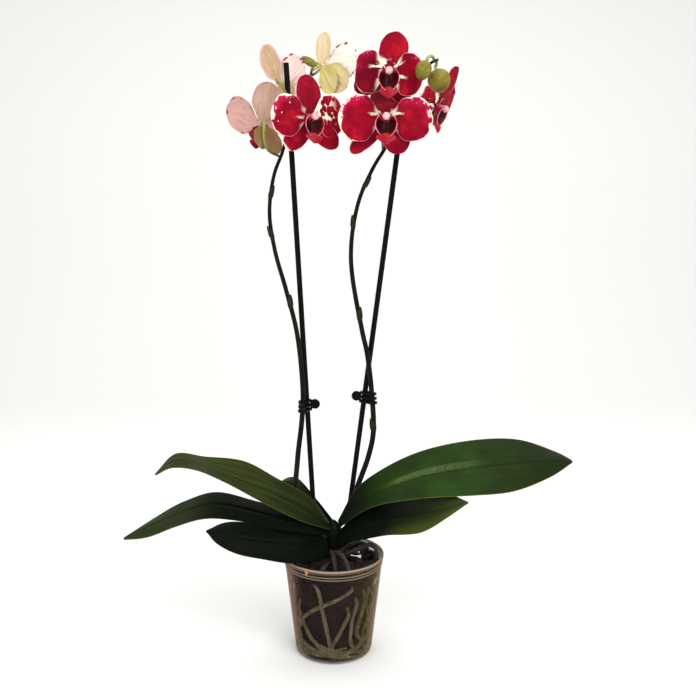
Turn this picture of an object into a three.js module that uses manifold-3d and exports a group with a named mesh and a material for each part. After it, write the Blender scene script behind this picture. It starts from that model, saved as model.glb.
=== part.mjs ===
// Potted moth orchid with two flower spikes, in millimetres, +Z up.
// The origin is the middle of the pot's underside; -Y is the side that the blooms face.

import * as THREE from 'three';
import { mergeVertices } from 'three/addons/utils/BufferGeometryUtils.js';
import Module from 'manifold-3d';

const wasm = await Module();
wasm.setup();

// ---------------------------------------------------------------- driving dimensions

const GAP = 0.35;                  // clearance between pieces that touch

const POT = {
  height: 118,
  footRadius: 45.3,
  footFillet: 1.6,
  wallFoot: { z: 5, radius: 46.2 },
  wallTop: { z: 110, radius: 58.4 },
  wall: 1.0,
  floor: 1.2,
  rimRadius: 60,
  rimDepth: 4,
  rimLip: 1.8,
  ridgeHeights: [107, 110.2],
  ridgeProud: 0.5,
  ridgeHalf: 0.7,
  sides: 30,
  slots: 8,
  slotWidth: 5,
  slotLow: 4.5,
  slotHigh: 13.5,
  slotTurn: 22,                    // degrees from the front to the first slot
};

const BARK = { top: 99, mound: 5, chips: 8, chipSize: 11, sides: 18 };

const STEM = {
  low: 88,                         // underside of the root stock, inside the bark
  split: 125.6,                    // the root stock ends and the green crown begins
  top: 158.5,
  profile: [[88, 7], [96, 9.5], [110, 11], [130, 12], [142, 11.5], [150, 9], [155, 5.5], [158.5, 1.2]],
};

const LEAF = { ribThickness: 1.7, edgeThickness: 0.9, seat: 0.85, across: 4, along: 13 };
const STAKE = { radius: 3.15, sides: 12 };
const SPIKE = {
  footRadius: 3.3,
  tipRadius: 1.5,
  sides: 6,
  stalkRadius: 1.5,
  stalkLead: 4,                    // the straight last stretch of a flower stalk
  bractLength: 13,
  bractProud: 0.8,
  bractTip: 0.7,
};
const CLIP = { bandHeight: 2.8, bandPitch: 5.3, play: 1, wall: 1.5, ringRadius: 4.2, ringWire: 1.8 };
const BLOOM = {
  bladeThickness: 1.0,
  hubRadius: 5.5,
  hubDepth: 3.8,
  tepalStart: 2,                   // how far from the middle a petal or sepal begins
  cup: { floorRadius: 0.9, spread: 10.6, depth: 10, sweep: 140, below: 4.5, sink: 3, ahead: 2.8 },
  tongue: {
    width: 22, length: 12.5, below: 14.5, ahead: 8.9, rise: 12.6, sag: 5, bow: 1.5,
    shares: [[0, 0.4], [0.4, 1], [0.75, 0.6], [1, 0.12]],
  },
  column: { above: 2, profile: [[0, 0], [3, 0], [2.8, 5], [3.9, 9], [4.1, 11.6], [3, 13.6], [0, 14.4]] },
};

const COLOURS = {
  pot: 0x8a7565,
  bark: 0x3a2418,
  root: 0x8b8a6b,
  crown: 0x4d6b2a,
  leaf: 0x2f5a22,
  spike: 0x2a2c1c,
  stake: 0x101010,
  clip: 0x141414,
  tepals: 0xa8122c,
  tepalBacks: 0xd9b3a0,
  lip: 0x6a0a1c,
  column: 0xe9c8cc,
  bud: 0x7f8a35,
};

// ---------------------------------------------------------------- small helpers

const radians = THREE.MathUtils.degToRad;
const vector = (point) => new THREE.Vector3(...point);
const curveThrough = (points) => new THREE.CatmullRomCurve3(points.map(vector), false, 'centripetal');

/** A repeatable stream of numbers from 0 to 1. */
function seededDraw(seed) {
  let state = seed;
  return () => {
    state = (state * 1664525 + 1013904223) % 4294967296;
    return state / 4294967296;
  };
}

/** Straight-line lookup in a list of [input, output] pairs. */
function lookUp(pairs, input) {
  if (input <= pairs[0][0]) return pairs[0][1];
  for (let i = 1; i < pairs.length; i += 1) {
    const [x0, y0] = pairs[i - 1];
    const [x1, y1] = pairs[i];
    if (input <= x1) return y0 + (y1 - y0) * (input - x0) / (x1 - x0);
  }
  return pairs[pairs.length - 1][1];
}

/** A place given by its angle from the front (positive towards +X), radius and height. */
function around(angle, radius, z) {
  return [radius * Math.sin(radians(angle)), -radius * Math.cos(radians(angle)), z];
}

/** Merges shared corners, so that the surface is closed. */
function weld(geometry) {
  const bare = geometry.clone();
  bare.deleteAttribute('normal');
  bare.deleteAttribute('uv');
  return mergeVertices(bare, 1e-4);
}

/** Turns a closed surface the right way out. */
function outward(geometry) {
  const place = geometry.attributes.position;
  const index = geometry.index.array;
  const corner = (i) => new THREE.Vector3().fromBufferAttribute(place, index[i]);
  let volume = 0;
  for (let i = 0; i < index.length; i += 3) {
    volume += corner(i).dot(corner(i + 1).cross(corner(i + 2)));
  }
  if (volume < 0) {
    for (let i = 0; i < index.length; i += 3) {
      [index[i + 1], index[i + 2]] = [index[i + 2], index[i + 1]];
    }
  }
  return geometry;
}

function asSolid(geometry) {
  const closed = outward(weld(geometry));
  return new wasm.Manifold(new wasm.Mesh({
    numProp: 3,
    vertProperties: new Float32Array(closed.attributes.position.array),
    triVerts: new Uint32Array(closed.index.array),
  }));
}

function asGeometry(solid) {
  const mesh = solid.getMesh();
  const geometry = new THREE.BufferGeometry();
  geometry.setAttribute('position', new THREE.BufferAttribute(new Float32Array(mesh.vertProperties), 3));
  geometry.setIndex(new THREE.BufferAttribute(new Uint32Array(mesh.triVerts), 1));
  return geometry;
}

function fuse(geometries) {
  return asGeometry(geometries.map(asSolid).reduce((sum, solid) => sum.add(solid)));
}

/** Cuts tools out of a body and keeps the largest piece that is left. */
function carve(geometry, tools) {
  const cut = tools.map(asSolid).reduce((body, tool) => body.subtract(tool), asSolid(geometry));
  const pieces = cut.decompose();
  return asGeometry(pieces.reduce((best, piece) => (piece.volume() > best.volume() ? piece : best)));
}

/** A solid of revolution about Z from [radius, height] pairs. */
function turned(profile, sides) {
  const points = profile.map(([radius, height]) => new THREE.Vector2(radius, height));
  return outward(weld(new THREE.LatheGeometry(points, sides).rotateX(Math.PI / 2)));
}

/** A closed rod along a curve, whose radius follows radiusAt(t); settle may move its centre points. */
function rod(curve, steps, sides, radiusAt, settle = (centre) => centre) {
  const frames = curve.computeFrenetFrames(steps, false);
  const geometry = new THREE.CylinderGeometry(1, 1, steps, sides, steps);
  const place = geometry.attributes.position;
  for (let i = 0; i < place.count; i += 1) {
    const step = Math.round(place.getY(i) + steps / 2);
    const centre = settle(curve.getPointAt(step / steps));
    const radius = radiusAt(step / steps);
    centre.addScaledVector(frames.normals[step], place.getX(i) * radius);
    centre.addScaledVector(frames.binormals[step], -place.getZ(i) * radius);
    place.setXYZ(i, centre.x, centre.y, centre.z);
  }
  return outward(weld(geometry));
}

/** A thin solid sheet: surface(s, t) runs over s = -1..1 across and t = 0..1 along. */
function blade(across, along, surface, thicknessAt) {
  const sheet = new THREE.PlaneGeometry(2, 1, across, along);
  const grid = sheet.attributes.position;
  const front = [];
  const back = [];
  const reach = 0.004;
  for (let i = 0; i < grid.count; i += 1) {
    const s = grid.getX(i);
    const t = grid.getY(i) + 0.5;
    const sideways = surface(s + reach, t).sub(surface(s - reach, t));
    const onward = surface(s, t + reach).sub(surface(s, t - reach));
    const normal = sideways.cross(onward).normalize();
    const middle = surface(s, t);
    const half = thicknessAt(s, t) / 2;
    front.push(...middle.clone().addScaledVector(normal, half).toArray());
    back.push(...middle.clone().addScaledVector(normal, -half).toArray());
  }
  const count = grid.count;
  const faces = Array.from(sheet.index.array);
  const index = [...faces];
  for (let i = 0; i < faces.length; i += 3) {
    index.push(faces[i] + count, faces[i + 2] + count, faces[i + 1] + count);
  }
  const border = borderOf(across, along);
  border.forEach((from, i) => {
    const to = border[(i + 1) % border.length];
    index.push(from, from + count, to + count, from, to + count, to);
  });
  const geometry = new THREE.BufferGeometry();
  geometry.setAttribute('position', new THREE.Float32BufferAttribute([...front, ...back], 3));
  geometry.setIndex(index);
  return outward(geometry);
}

/** The border of a plane's grid, in order round it. */
function borderOf(across, along) {
  const row = across + 1;
  const last = along * row;
  const loop = [];
  for (let i = 0; i < along; i += 1) loop.push(i * row);
  for (let i = 0; i < across; i += 1) loop.push(last + i);
  for (let i = along; i > 0; i -= 1) loop.push(i * row + across);
  for (let i = across; i > 0; i -= 1) loop.push(i);
  return loop;
}

function piece(name, geometry, colour, { roughness = 0.6, metalness = 0 } = {}) {
  geometry.computeVertexNormals();
  const material = new THREE.MeshStandardMaterial({ color: colour, roughness, metalness });
  const mesh = new THREE.Mesh(geometry, material);
  mesh.name = name;
  return mesh;
}

// ---------------------------------------------------------------- pot

/** The radius of the tapered wall's outside at a height. */
function potRadius(z) {
  const { wallFoot: low, wallTop: high } = POT;
  return low.radius + (high.radius - low.radius) * (z - low.z) / (high.z - low.z);
}

function potGeometry() {
  const { height, footRadius, footFillet, wall, floor, rimRadius, rimDepth, rimLip } = POT;
  const ridges = POT.ridgeHeights.flatMap((z) => [
    [potRadius(z - POT.ridgeHalf), z - POT.ridgeHalf],
    [potRadius(z) + POT.ridgeProud, z],
    [potRadius(z + POT.ridgeHalf), z + POT.ridgeHalf],
  ]);
  const rimFoot = height - rimDepth;
  const body = turned([
    [0, 0],
    [footRadius - footFillet, 0],
    [footRadius, footFillet],
    [POT.wallFoot.radius, POT.wallFoot.z],
    ...ridges,
    [potRadius(rimFoot), rimFoot],
    [rimRadius - 0.4, rimFoot + 0.3],
    [rimRadius, rimFoot + 1.2],
    [rimRadius, height - 1.2],
    [rimRadius - 0.8, height],
    [rimRadius - rimLip, height],
    [rimRadius - rimLip - 0.6, height - 0.8],
    [potRadius(rimFoot - 1) - wall, rimFoot - 1],
    [POT.wallFoot.radius - wall, POT.wallFoot.z],
    [footRadius - wall - 0.6, floor],
    [0, floor],
  ], POT.sides);
  const slots = [];
  for (let i = 0; i < POT.slots; i += 1) {
    const box = new THREE.BoxGeometry(POT.slotWidth, 12, POT.slotHigh - POT.slotLow);
    box.translate(0, -footRadius, (POT.slotLow + POT.slotHigh) / 2);
    box.rotateZ(radians(POT.slotTurn + i * 360 / POT.slots));
    slots.push(box);
  }
  return carve(body, slots);
}

// ---------------------------------------------------------------- roots

const ROOT_RADIUS = 2.3;
const ROOT_SIDES = 5;
const WALL_PLAY = 0.5;                // between a root and the pot's wall

/** How far from the axis the middle of a root may lie at a height. */
function rootReach(z) {
  return potRadius(z) - POT.wall - WALL_PLAY - ROOT_RADIUS;
}

/** A point on the inside of the pot's wall, for a root pressed against it. */
function onWall(angle, z) {
  return around(angle, rootReach(z), z);
}

/** Draws a root's centre point in where it would run into the wall. */
function insideWall(centre) {
  const reach = Math.hypot(centre.x, centre.y);
  const shrink = Math.min(1, rootReach(centre.z) / reach);
  return centre.multiply(new THREE.Vector3(shrink, shrink, 1));
}

// Each root starts in the root stock; wall gives [angle from the front, height] down the pot's wall.
const WALL_ROOTS = [
  { from: [-24, 30, 107], wall: [[-26, 104], [-19, 92], [-15, 72], [-10, 48], [-4, 22], [6, 8]] },
  { from: [30, 34, 96], wall: [[24, 91], [0, 79], [-18, 71], [-34, 61], [-48, 50], [-58, 36]] },
  { from: [-56, 32, 84], wall: [[-55, 64], [-46, 44], [-34, 29], [-18, 18], [4, 11], [24, 8]] },
  { from: [-76, 30, 96], wall: [[-76, 86], [-74, 62], [-71, 34], [-60, 14], [-38, 8]] },
  { from: [36, 30, 90], wall: [[33, 72], [28, 56], [26, 40], [28, 22], [40, 10]] },
  { from: [14, 30, 76], wall: [[22, 62], [14, 46], [4, 30], [-6, 17]] },
  { from: [50, 30, 92], wall: [[46, 80], [45, 66], [40, 50], [36, 36], [52, 18]] },
  { from: [70, 30, 90], wall: [[68, 70], [60, 54], [66, 34], [78, 18]] },
  { from: [108, 30, 94], wall: [[108, 84], [118, 62], [112, 40], [126, 18], [150, 8]] },
  { from: [186, 30, 96], wall: [[190, 86], [182, 64], [196, 42], [188, 22], [206, 9]] },
  { from: [252, 30, 92], wall: [[244, 78], [236, 58], [228, 38], [240, 18], [262, 8]] },
];

// Roots in the air above the bark: points, then the radius.
const AIR_ROOTS = [
  { path: [[-1, -7, 119], [0, -17, 116], [2, -24, 108], [3, -27, 94]], radius: 2.6 },
  { path: [[3, -6, 121], [10, -17, 120], [17, -28, 112], [22, -34, 96]], radius: 3.0 },
  {
    path: [[6, -3, 112], [28, -12, 126], [45, -13, 132], [51, -11, 124], [50, -9, 110], [48, -8, 92]],
    radius: 2.8,
  },
  { path: [[-4, -5, 108], [-12, -22, 108], [-15, -32, 103], [-16, -36, 92]], radius: 1.8 },
  { path: [[5, 5, 112], [22, 16, 122], [38, 26, 118], [42, 28, 94]], radius: 2.6 },
  { path: [[-5, 5, 110], [-34, 10, 114], [-44, 8, 108], [-46, 6, 92]], radius: 2.4 },
];

function stemProfile(low, high, steps) {
  const rows = [[0, low]];
  for (let i = 0; i <= steps; i += 1) {
    const z = low + (high - low) * i / steps;
    rows.push([lookUp(STEM.profile, z), z]);
  }
  return [...rows, [0, high]];
}

/** Every root as a rod, made fatter by extra for the bed that it leaves in the bark. */
function rootRods(extra) {
  const wallRods = WALL_ROOTS.map(({ from, wall }) => {
    const [angle, radius, z] = from;
    const start = around(angle, 3, Math.min(z + 4, STEM.split - 12));
    const path = curveThrough([start, around(angle, radius, z), ...wall.map((place) => onWall(...place))]);
    return rod(path, 8, ROOT_SIDES, (t) => (ROOT_RADIUS + extra) * (t > 0.97 ? 0.6 : 1), insideWall);
  });
  const airRods = AIR_ROOTS.map(({ path, radius }) => (
    rod(curveThrough(path), 7, ROOT_SIDES, (t) => (radius + extra) * (1.1 - 0.25 * t))
  ));
  return [...wallRods, ...airRods];
}

function rootGeometry() {
  const stock = turned(stemProfile(STEM.low, STEM.split, 4), 10);
  return fuse([stock, ...rootRods(0)]);
}

// ---------------------------------------------------------------- bark

function barkCore() {
  const inset = POT.wall + WALL_PLAY + 2 * ROOT_RADIUS + GAP;
  const low = POT.floor + GAP;
  const heights = [POT.wallFoot.z, 50, BARK.top];
  return turned([
    [0, low],
    [POT.footRadius - inset - 0.8, low],
    ...heights.map((z) => [potRadius(z) - inset, z]),
    [36, BARK.top + BARK.mound * 0.5],
    [16, BARK.top + BARK.mound],
    [0, BARK.top + BARK.mound],
  ], BARK.sides);
}

/** Angular pieces of bark, sunk in the top of the filling. */
function barkChips() {
  const draw = seededDraw(71);
  const chips = [];
  for (let i = 0; i < BARK.chips; i += 1) {
    const chip = new THREE.IcosahedronGeometry(BARK.chipSize, 0);
    chip.scale(0.75 + 0.5 * draw(), 0.75 + 0.4 * draw(), 0.35 + 0.25 * draw());
    chip.rotateX((draw() - 0.5) * 0.9);
    chip.rotateZ(draw() * Math.PI * 2);
    const reach = 18 + 25 * Math.sqrt(draw());
    const place = around(i * 137.5, reach, BARK.top + 2 + 2 * draw());
    chips.push(chip.translate(...place));
  }
  return chips;
}

function barkGeometry() {
  const stock = turned(stemProfile(STEM.low - GAP, STEM.split, 4).map(([r, z]) => [r && r + GAP, z]), 10);
  const holes = STAKES.map(({ foot, top }) => straightRod(foot, top, STAKE.radius + GAP, -GAP));
  return carve(fuse([barkCore(), ...barkChips()]), [stock, ...rootRods(GAP), ...holes]);
}

// ---------------------------------------------------------------- crown and leaves

/** A point just off the stem's surface, where a leaf's foot sits. */
function onStem(angle, z) {
  return around(angle, lookUp(STEM.profile, z) + LEAF.seat, z);
}

// far, rib and near are the far edge, midrib and near edge as the front view sees them.
const LEAVES = [
  {
    name: 'leaf_1',
    far: [
      onStem(110, 156), [27, 3, 195], [56, 14, 215], [105, 28, 234], [167, 34, 247],
      [227, 30, 248], [266, 14, 238], [281, -3, 232],
    ],
    rib: [
      onStem(70, 154), [31, -10, 183], [54, -11, 196], [98, -8, 212], [160, -6, 223],
      [218, -6, 229], [260, -6, 231], [281, -5, 231],
    ],
    near: [
      onStem(25, 149), [31, -22, 174], [52, -31, 186], [95, -40, 197], [156, -46, 202],
      [208, -39, 206], [252, -22, 217], [281, -7, 230],
    ],
  },
  {
    name: 'leaf_2',
    far: [
      onStem(-110, 155), [-26, 1, 184], [-66, 2, 208], [-106, 6, 228],
      [-154, 10, 233], [-190, 14, 235], [-214, 11, 212],
    ],
    rib: [
      onStem(-65, 154), [-27, -12, 174], [-62, -16, 193], [-109, -14, 211],
      [-150, -10, 227], [-186, -2, 230], [-214, 10, 211],
    ],
    near: [
      onStem(-25, 149), [-38, -26, 166], [-81, -38, 192], [-123, -36, 215],
      [-156, -28, 226], [-188, -12, 225], [-213, 8, 210],
    ],
  },
  {
    name: 'leaf_3',
    far: [onStem(72, 149), [38, -3, 175], [77, -8, 186], [111, -17, 195], [137, -36, 199], [151, -57, 199]],
    rib: [
      onStem(40, 140), [43, -26, 159], [76, -38, 174], [109, -50, 185],
      [135, -56, 193], [151, -58, 198],
    ],
    near: [
      onStem(12, 132), [31, -34, 146], [59, -52, 158], [97, -70, 168],
      [126, -72, 186], [150, -60, 198],
    ],
  },
  {
    name: 'leaf_4',
    far: [
      onStem(-82, 150), [-40, -6, 168], [-93, -4, 183], [-141, 0, 192],
      [-178, 4, 180], [-216, 6, 158], [-252, 3, 135],
    ],
    rib: [
      onStem(-58, 147), [-43, -22, 160], [-94, -24, 177], [-141, -22, 184],
      [-178, -16, 172], [-216, -10, 154], [-252, 2, 134],
    ],
    near: [
      onStem(-30, 142), [-52, -34, 157], [-100, -44, 171], [-142, -44, 175],
      [-180, -38, 163], [-219, -22, 144], [-251, 0, 133],
    ],
  },
  {
    name: 'leaf_5',
    far: [
      onStem(-52, 139), [-39, -18, 153], [-71, -26, 160], [-100, -30, 166],
      [-124, -38, 168], [-143, -49, 163],
    ],
    rib: [
      onStem(-34, 128), [-40, -36, 142], [-73, -50, 151], [-102, -56, 158],
      [-126, -56, 164], [-143, -50, 162],
    ],
    near: [
      onStem(-14, 116), [-42, -54, 126], [-75, -72, 138], [-105, -78, 147],
      [-128, -70, 156], [-142, -52, 162],
    ],
  },
  {
    name: 'leaf_6',
    far: [
      onStem(-160, 148), [-22, 32, 156], [-46, 38, 166], [-66, 45, 172],
      [-81, 58, 169], [-88, 82, 165],
    ],
    rib: [onStem(178, 148), [-16, 37, 161], [-38, 48, 175], [-56, 60, 184], [-71, 73, 180], [-87, 84, 165]],
    near: [
      onStem(156, 148), [-28, 44, 176], [-38, 56, 185], [-49, 70, 189],
      [-63, 82, 185], [-85, 86, 164],
    ],
  },
];

function leafGeometry({ far, rib, near }) {
  const [farCurve, ribCurve, nearCurve] = [far, rib, near].map(curveThrough);
  const surface = (s, t) => {
    const place = THREE.MathUtils.clamp(t, 0, 1);
    const middle = ribCurve.getPoint(place);
    const a = farCurve.getPoint(place);
    const b = nearCurve.getPoint(place);
    const lift = a.clone().add(b).multiplyScalar(0.5).sub(middle);
    const half = a.clone().sub(b).multiplyScalar(0.5);
    return middle.addScaledVector(half, s).addScaledVector(lift, Math.abs(s) ** 1.6);
  };
  const thicknessAt = (s) => THREE.MathUtils.lerp(LEAF.ribThickness, LEAF.edgeThickness, Math.abs(s));
  return blade(LEAF.across, LEAF.along, surface, thicknessAt);
}

function crownGeometry() {
  return turned(stemProfile(STEM.split + GAP, STEM.top, 6), 9);
}

// ---------------------------------------------------------------- stakes, spikes and clips

const STAKES = [
  { name: 'stake_left', foot: [-16.8, 26.1, 10], top: [-52.6, 10, 686.7] },
  { name: 'stake_right', foot: [-1.1, 27.1, 10], top: [74.5, 9.8, 596] },
];

/** A straight rod between two points; extend lengthens it at both ends. */
function straightRod(foot, top, radius, extend = 0) {
  const axis = vector(top).sub(vector(foot)).normalize();
  const from = vector(foot).addScaledVector(axis, extend);
  const to = vector(top).addScaledVector(axis, -extend);
  return rod(new THREE.LineCurve3(from, to), 1, STAKE.sides, () => radius);
}

const SPIKES = [
  {
    name: 'spike_left',
    path: [
      [-12.7, 6.8, 131], [-23, 11, 140], [-36, 12, 162], [-45, 10, 184], [-43, 8, 230], [-37.7, 8, 276],
      [-36, 8, 309], [-42.5, 8, 381], [-54.9, 8, 432], [-67.2, 8, 477], [-73, 8, 520], [-67.5, 8, 562],
      [-57.5, 7, 588], [-51, 3, 607], [-42, -1, 628], [-34, -2, 646], [-28, 1, 661], [-23, 4, 674],
    ],
    nodes: [0.3, 0.52, 0.665, 0.745],
    stalks: [
      { bloom: 'bloom_5', path: [[-60, 8, 583], [-75, 15, 592], [-80, 21, 607]] },
      { bloom: 'bloom_4', path: [[-46, 1, 619], [-42, -8, 621], [-34, -20, 619]] },
      {
        bloom: 'bloom_6',
        path: [[-43, -1, 627], [-47, -1, 641], [-54, 2, 655], [-61, 14, 668], [-66, 34, 675], [-67, 50, 677]],
      },
      { bloom: 'bloom_7', path: [[-26, 2, 667], [-23, 12, 681], [-19, 25, 690]] },
      { bud: 'bud_1', path: [[-24.5, 3, 671], [-18, 3.5, 675]] },
    ],
  },
  {
    name: 'spike_right',
    path: [
      [13, 7.7, 134], [18, 9, 150], [24, 9, 172], [27, 8, 191], [41.4, 8, 233], [47.2, 8, 262],
      [45.6, 8, 306], [39.5, 7, 358], [33.9, 7, 383], [20.6, 8, 469], [28.6, 8, 530], [46, 8, 571],
      [60, 6, 594], [70, 5, 619], [80, 4, 642], [90, 1, 659], [100, -7, 672], [108, -18, 680],
      [114, -26, 681],
    ],
    nodes: [0.235, 0.46, 0.64, 0.72],
    stalks: [
      { bloom: 'bloom_1', path: [[57, 7, 589], [56, -3, 603], [57, -18, 614]] },
      { bloom: 'bloom_2', path: [[87, 2, 654], [80, -5, 664], [70, -17, 668]] },
      { bloom: 'bloom_3', path: [[74, 5, 628], [86, 19, 635], [100, 38, 645]] },
      { bud: 'bud_2', path: [[111, -22, 681], [107, -36, 682]] },
      { bud: 'bud_3', path: [[112, -26, 681], [113, -25, 677]] },
    ],
  },
];

/** The last two points of a flower stalk, which meets its bloom or bud squarely from behind. */
function stalkEnds(stalk) {
  const bloom = BLOOMS.find(({ name }) => name === stalk.bloom);
  const bud = BUDS.find(({ name }) => name === stalk.bud);
  const { centre } = bloom ?? bud;
  const axis = vector(bloom ? bloom.face : bud.towards).normalize();
  const back = GAP + (bloom ? BLOOM.hubDepth / 2 * bloom.size : bud.length / 2);
  const behind = (reach) => vector(centre).addScaledVector(axis, -reach).toArray();
  return [behind(back + SPIKE.stalkLead), behind(back)];
}

function spikeGeometry({ path, nodes, stalks }) {
  const curve = curveThrough(path);
  const radiusAt = (t) => THREE.MathUtils.lerp(SPIKE.footRadius, SPIKE.tipRadius, t ** 1.6);
  const main = rod(curve, 25, SPIKE.sides, radiusAt);
  const bracts = nodes.map((t, i) => {
    const along = curve.getTangentAt(t);
    const side = new THREE.Vector3(i % 2 ? 1 : -1, -0.6, 0).normalize();
    const from = curve.getPointAt(t);
    const to = from.clone().addScaledVector(along, SPIKE.bractLength).addScaledVector(side, radiusAt(t));
    const bractRadius = (reach) => (reach ? SPIKE.bractTip : radiusAt(t) + SPIKE.bractProud);
    return rod(new THREE.LineCurve3(from, to), 1, 5, bractRadius);
  });
  const branches = stalks.map((stalk) => {
    const line = curveThrough([...stalk.path, ...stalkEnds(stalk)]);
    return rod(line, 4, 5, (t) => SPIKE.stalkRadius * (1 + 0.25 * t));
  });
  return fuse([main, ...bracts, ...branches]);
}

/** The point of a curve or line at a height, by halving. */
function atHeight(pointAt, z, low, high) {
  let [from, to] = [low, high];
  for (let i = 0; i < 30; i += 1) {
    const middle = (from + to) / 2;
    if (pointAt(middle).z < z) from = middle;
    else to = middle;
  }
  return pointAt(from);
}

const CLIPS = [
  { name: 'clip_left', spike: 0, stake: 0, z: 294, handle: 1 },
  { name: 'clip_right', spike: 1, stake: 1, z: 304, handle: -1 },
];

/** Three bands round a spike and its stake, a bar that joins them and a ring to press. */
function clipGeometry({ spike, stake, z, handle }) {
  const spikeCurve = curveThrough(SPIKES[spike].path);
  const stakeLine = new THREE.LineCurve3(vector(STAKES[stake].foot), vector(STAKES[stake].top));
  const hole = STAKE.radius + CLIP.play;
  const parts = [];
  const ends = [];
  for (const step of [-1, 0, 1]) {
    const height = z + step * CLIP.bandPitch;
    const a = atHeight((t) => stakeLine.getPointAt(t), height, 0, 1);
    const b = atHeight((t) => spikeCurve.getPointAt(t), height, 0.1, 0.6);
    const turn = Math.atan2(b.y - a.y, b.x - a.x);
    const span = Math.hypot(b.x - a.x, b.y - a.y);
    const band = new THREE.Shape();
    slotOutline(band, span, hole + CLIP.wall);
    const inside = new THREE.Path();
    slotOutline(inside, span, hole);
    band.holes.push(inside);
    const settings = { depth: CLIP.bandHeight, bevelEnabled: false, curveSegments: 2 };
    const solid = new THREE.ExtrudeGeometry(band, settings);
    solid.translate(0, 0, -CLIP.bandHeight / 2);
    solid.rotateZ(turn);
    solid.translate(a.x, a.y, height);
    parts.push(solid);
    const outside = handle > 0 ? Math.max(a.x, b.x) : Math.min(a.x, b.x);
    const owner = outside === a.x ? a : b;
    ends.push(new THREE.Vector3(owner.x + handle * (hole + CLIP.wall / 2), owner.y, height));
  }
  const low = ends[0].clone().setZ(ends[0].z - CLIP.bandHeight / 2);
  const high = ends[2].clone().setZ(ends[2].z + CLIP.bandHeight / 2);
  parts.push(rod(new THREE.LineCurve3(low, high), 1, 6, () => CLIP.wall * 0.75));
  const ring = new THREE.TorusGeometry(CLIP.ringRadius, CLIP.ringWire, 5, 10).rotateX(Math.PI / 2);
  const offset = handle * (CLIP.ringRadius + CLIP.ringWire * 0.2);
  ring.translate(ends[1].x + offset, ends[1].y, ends[1].z + 1);
  parts.push(ring);
  return fuse(parts);
}

/** A slot with round ends about (0, 0) and (span, 0). */
function slotOutline(path, span, radius) {
  path.absarc(0, 0, radius, Math.PI / 2, Math.PI * 1.5, false);
  path.absarc(span, 0, radius, -Math.PI / 2, Math.PI / 2, false);
  path.closePath();
}

// ---------------------------------------------------------------- blooms

// centre is the middle of the bloom and face the way it looks. Each tepal is [angle from the bloom's
// right, length, greatest width, how far it leans back].
const BLOOMS = [
  {
    name: 'bloom_1',
    centre: [57.3, -35, 617.1],
    face: [0.04, -1, -0.08],
    size: 1,
    petals: [[1, 52.3, 46, 0.05], [177.6, 50.9, 49, 0.04]],
    sepals: [[88.8, 48.7, 32, 0.75], [302.4, 40.9, 30, 0.12], [223.5, 51.2, 20, 0.1]],
  },
  {
    name: 'bloom_2',
    centre: [59.8, -44, 663.8],
    face: [0.02, -0.97, -0.2],
    size: 0.95,
    petals: [[355.4, 44.3, 46, 0.35], [177.6, 40, 46, 0.35]],
    sepals: [[75.4, 44.7, 32, 0.15], [309.2, 42.9, 25, 0.45], [206.8, 44.4, 26, 0.4]],
  },
  {
    name: 'bloom_3',
    centre: [121, 46, 645.6],
    face: [0.74, -0.42, -0.4],
    size: 0.96,
    petals: [[26, 54, 42, 0.1], [176.6, 44.5, 44, 0.1]],
    sepals: [[77.7, 55, 32, -0.1], [340, 46, 24, 0.1], [286, 43.4, 26, 0.1]],
  },
  {
    name: 'bloom_4',
    centre: [-24.5, -35, 617.6],
    face: [0.55, -0.83, -0.08],
    size: 0.98,
    petals: [[10.8, 49.6, 45, 0.1], [175.5, 44.2, 45, 0.2]],
    sepals: [[80.9, 52.2, 33, 0.3], [326.7, 48.8, 26, 0], [238.1, 40.9, 27, 0.2]],
  },
  {
    name: 'bloom_5',
    centre: [-83.9, 30, 623.9],
    face: [-0.6, 0.75, -0.1],
    size: 0.95,
    petals: [[11.1, 52.1, 42, 0.1], [157.8, 47.7, 42, 0.1]],
    sepals: [[102.4, 49.7, 40, 0.2], [277.8, 33, 23, 0.1], [243.6, 41.4, 26, 0.1]],
  },
  {
    name: 'bloom_6',
    centre: [-63.2, 65, 676.6],
    face: [0.6, 0.8, 0],
    size: 0.95,
    petals: [[20, 48, 40, -0.9], [140.4, 40.6, 44, -0.2]],
    sepals: [[61.8, 57, 30, 0], [264.9, 30, 24, 0.05], [222.5, 33.5, 26, 0.05]],
  },
  {
    name: 'bloom_7',
    centre: [-13.2, 42, 690.1],
    face: [0.55, 0.82, -0.12],
    size: 0.95,
    petals: [[50, 50, 38, -0.8], [174.1, 50.2, 46, -0.1]],
    sepals: [[98.3, 40.2, 23, 0.1], [235.5, 42.5, 26, 0.05], [217.2, 50.1, 33, -0.05]],
  },
];

/** The outline's half width as a share of its largest, from a narrow claw to a blunt end. */
function outlineShare(t, fullest, claw) {
  const power = Math.log(0.5) / Math.log(fullest);
  const along = 0.02 + 0.955 * Math.max(t, 0) ** power;
  const oval = Math.sqrt(Math.max(0.02, 1 - Math.abs(2 * along - 1) ** 2.5));
  return oval * (claw + (1 - claw) * THREE.MathUtils.smoothstep(t, 0, 0.38));
}

/** One petal or sepal in the bloom's own frame: x to its right, y up, z the way it faces. */
function tepal([angle, length, width, lean], { fullest, claw, curl, droop, wave, level, across, along }) {
  const outX = Math.cos(radians(angle));
  const outY = Math.sin(radians(angle));
  const start = BLOOM.tepalStart;
  const run = (length - start) / Math.hypot(1, lean);
  const surface = (s, t) => {
    const half = outlineShare(t, fullest, claw) * width / 2;
    const reach = start + run * (t - 0.05 * s * s * t ** 4);
    const rise = level(lean) - run * (lean * t + curl * t * t) - droop * half * s * s
      + wave * Math.sin(9 * t + angle) * Math.abs(s) ** 3;
    return new THREE.Vector3(outX * reach + outY * half * s, outY * reach - outX * half * s, rise);
  };
  return blade(across, along, surface, () => BLOOM.bladeThickness);
}

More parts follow.
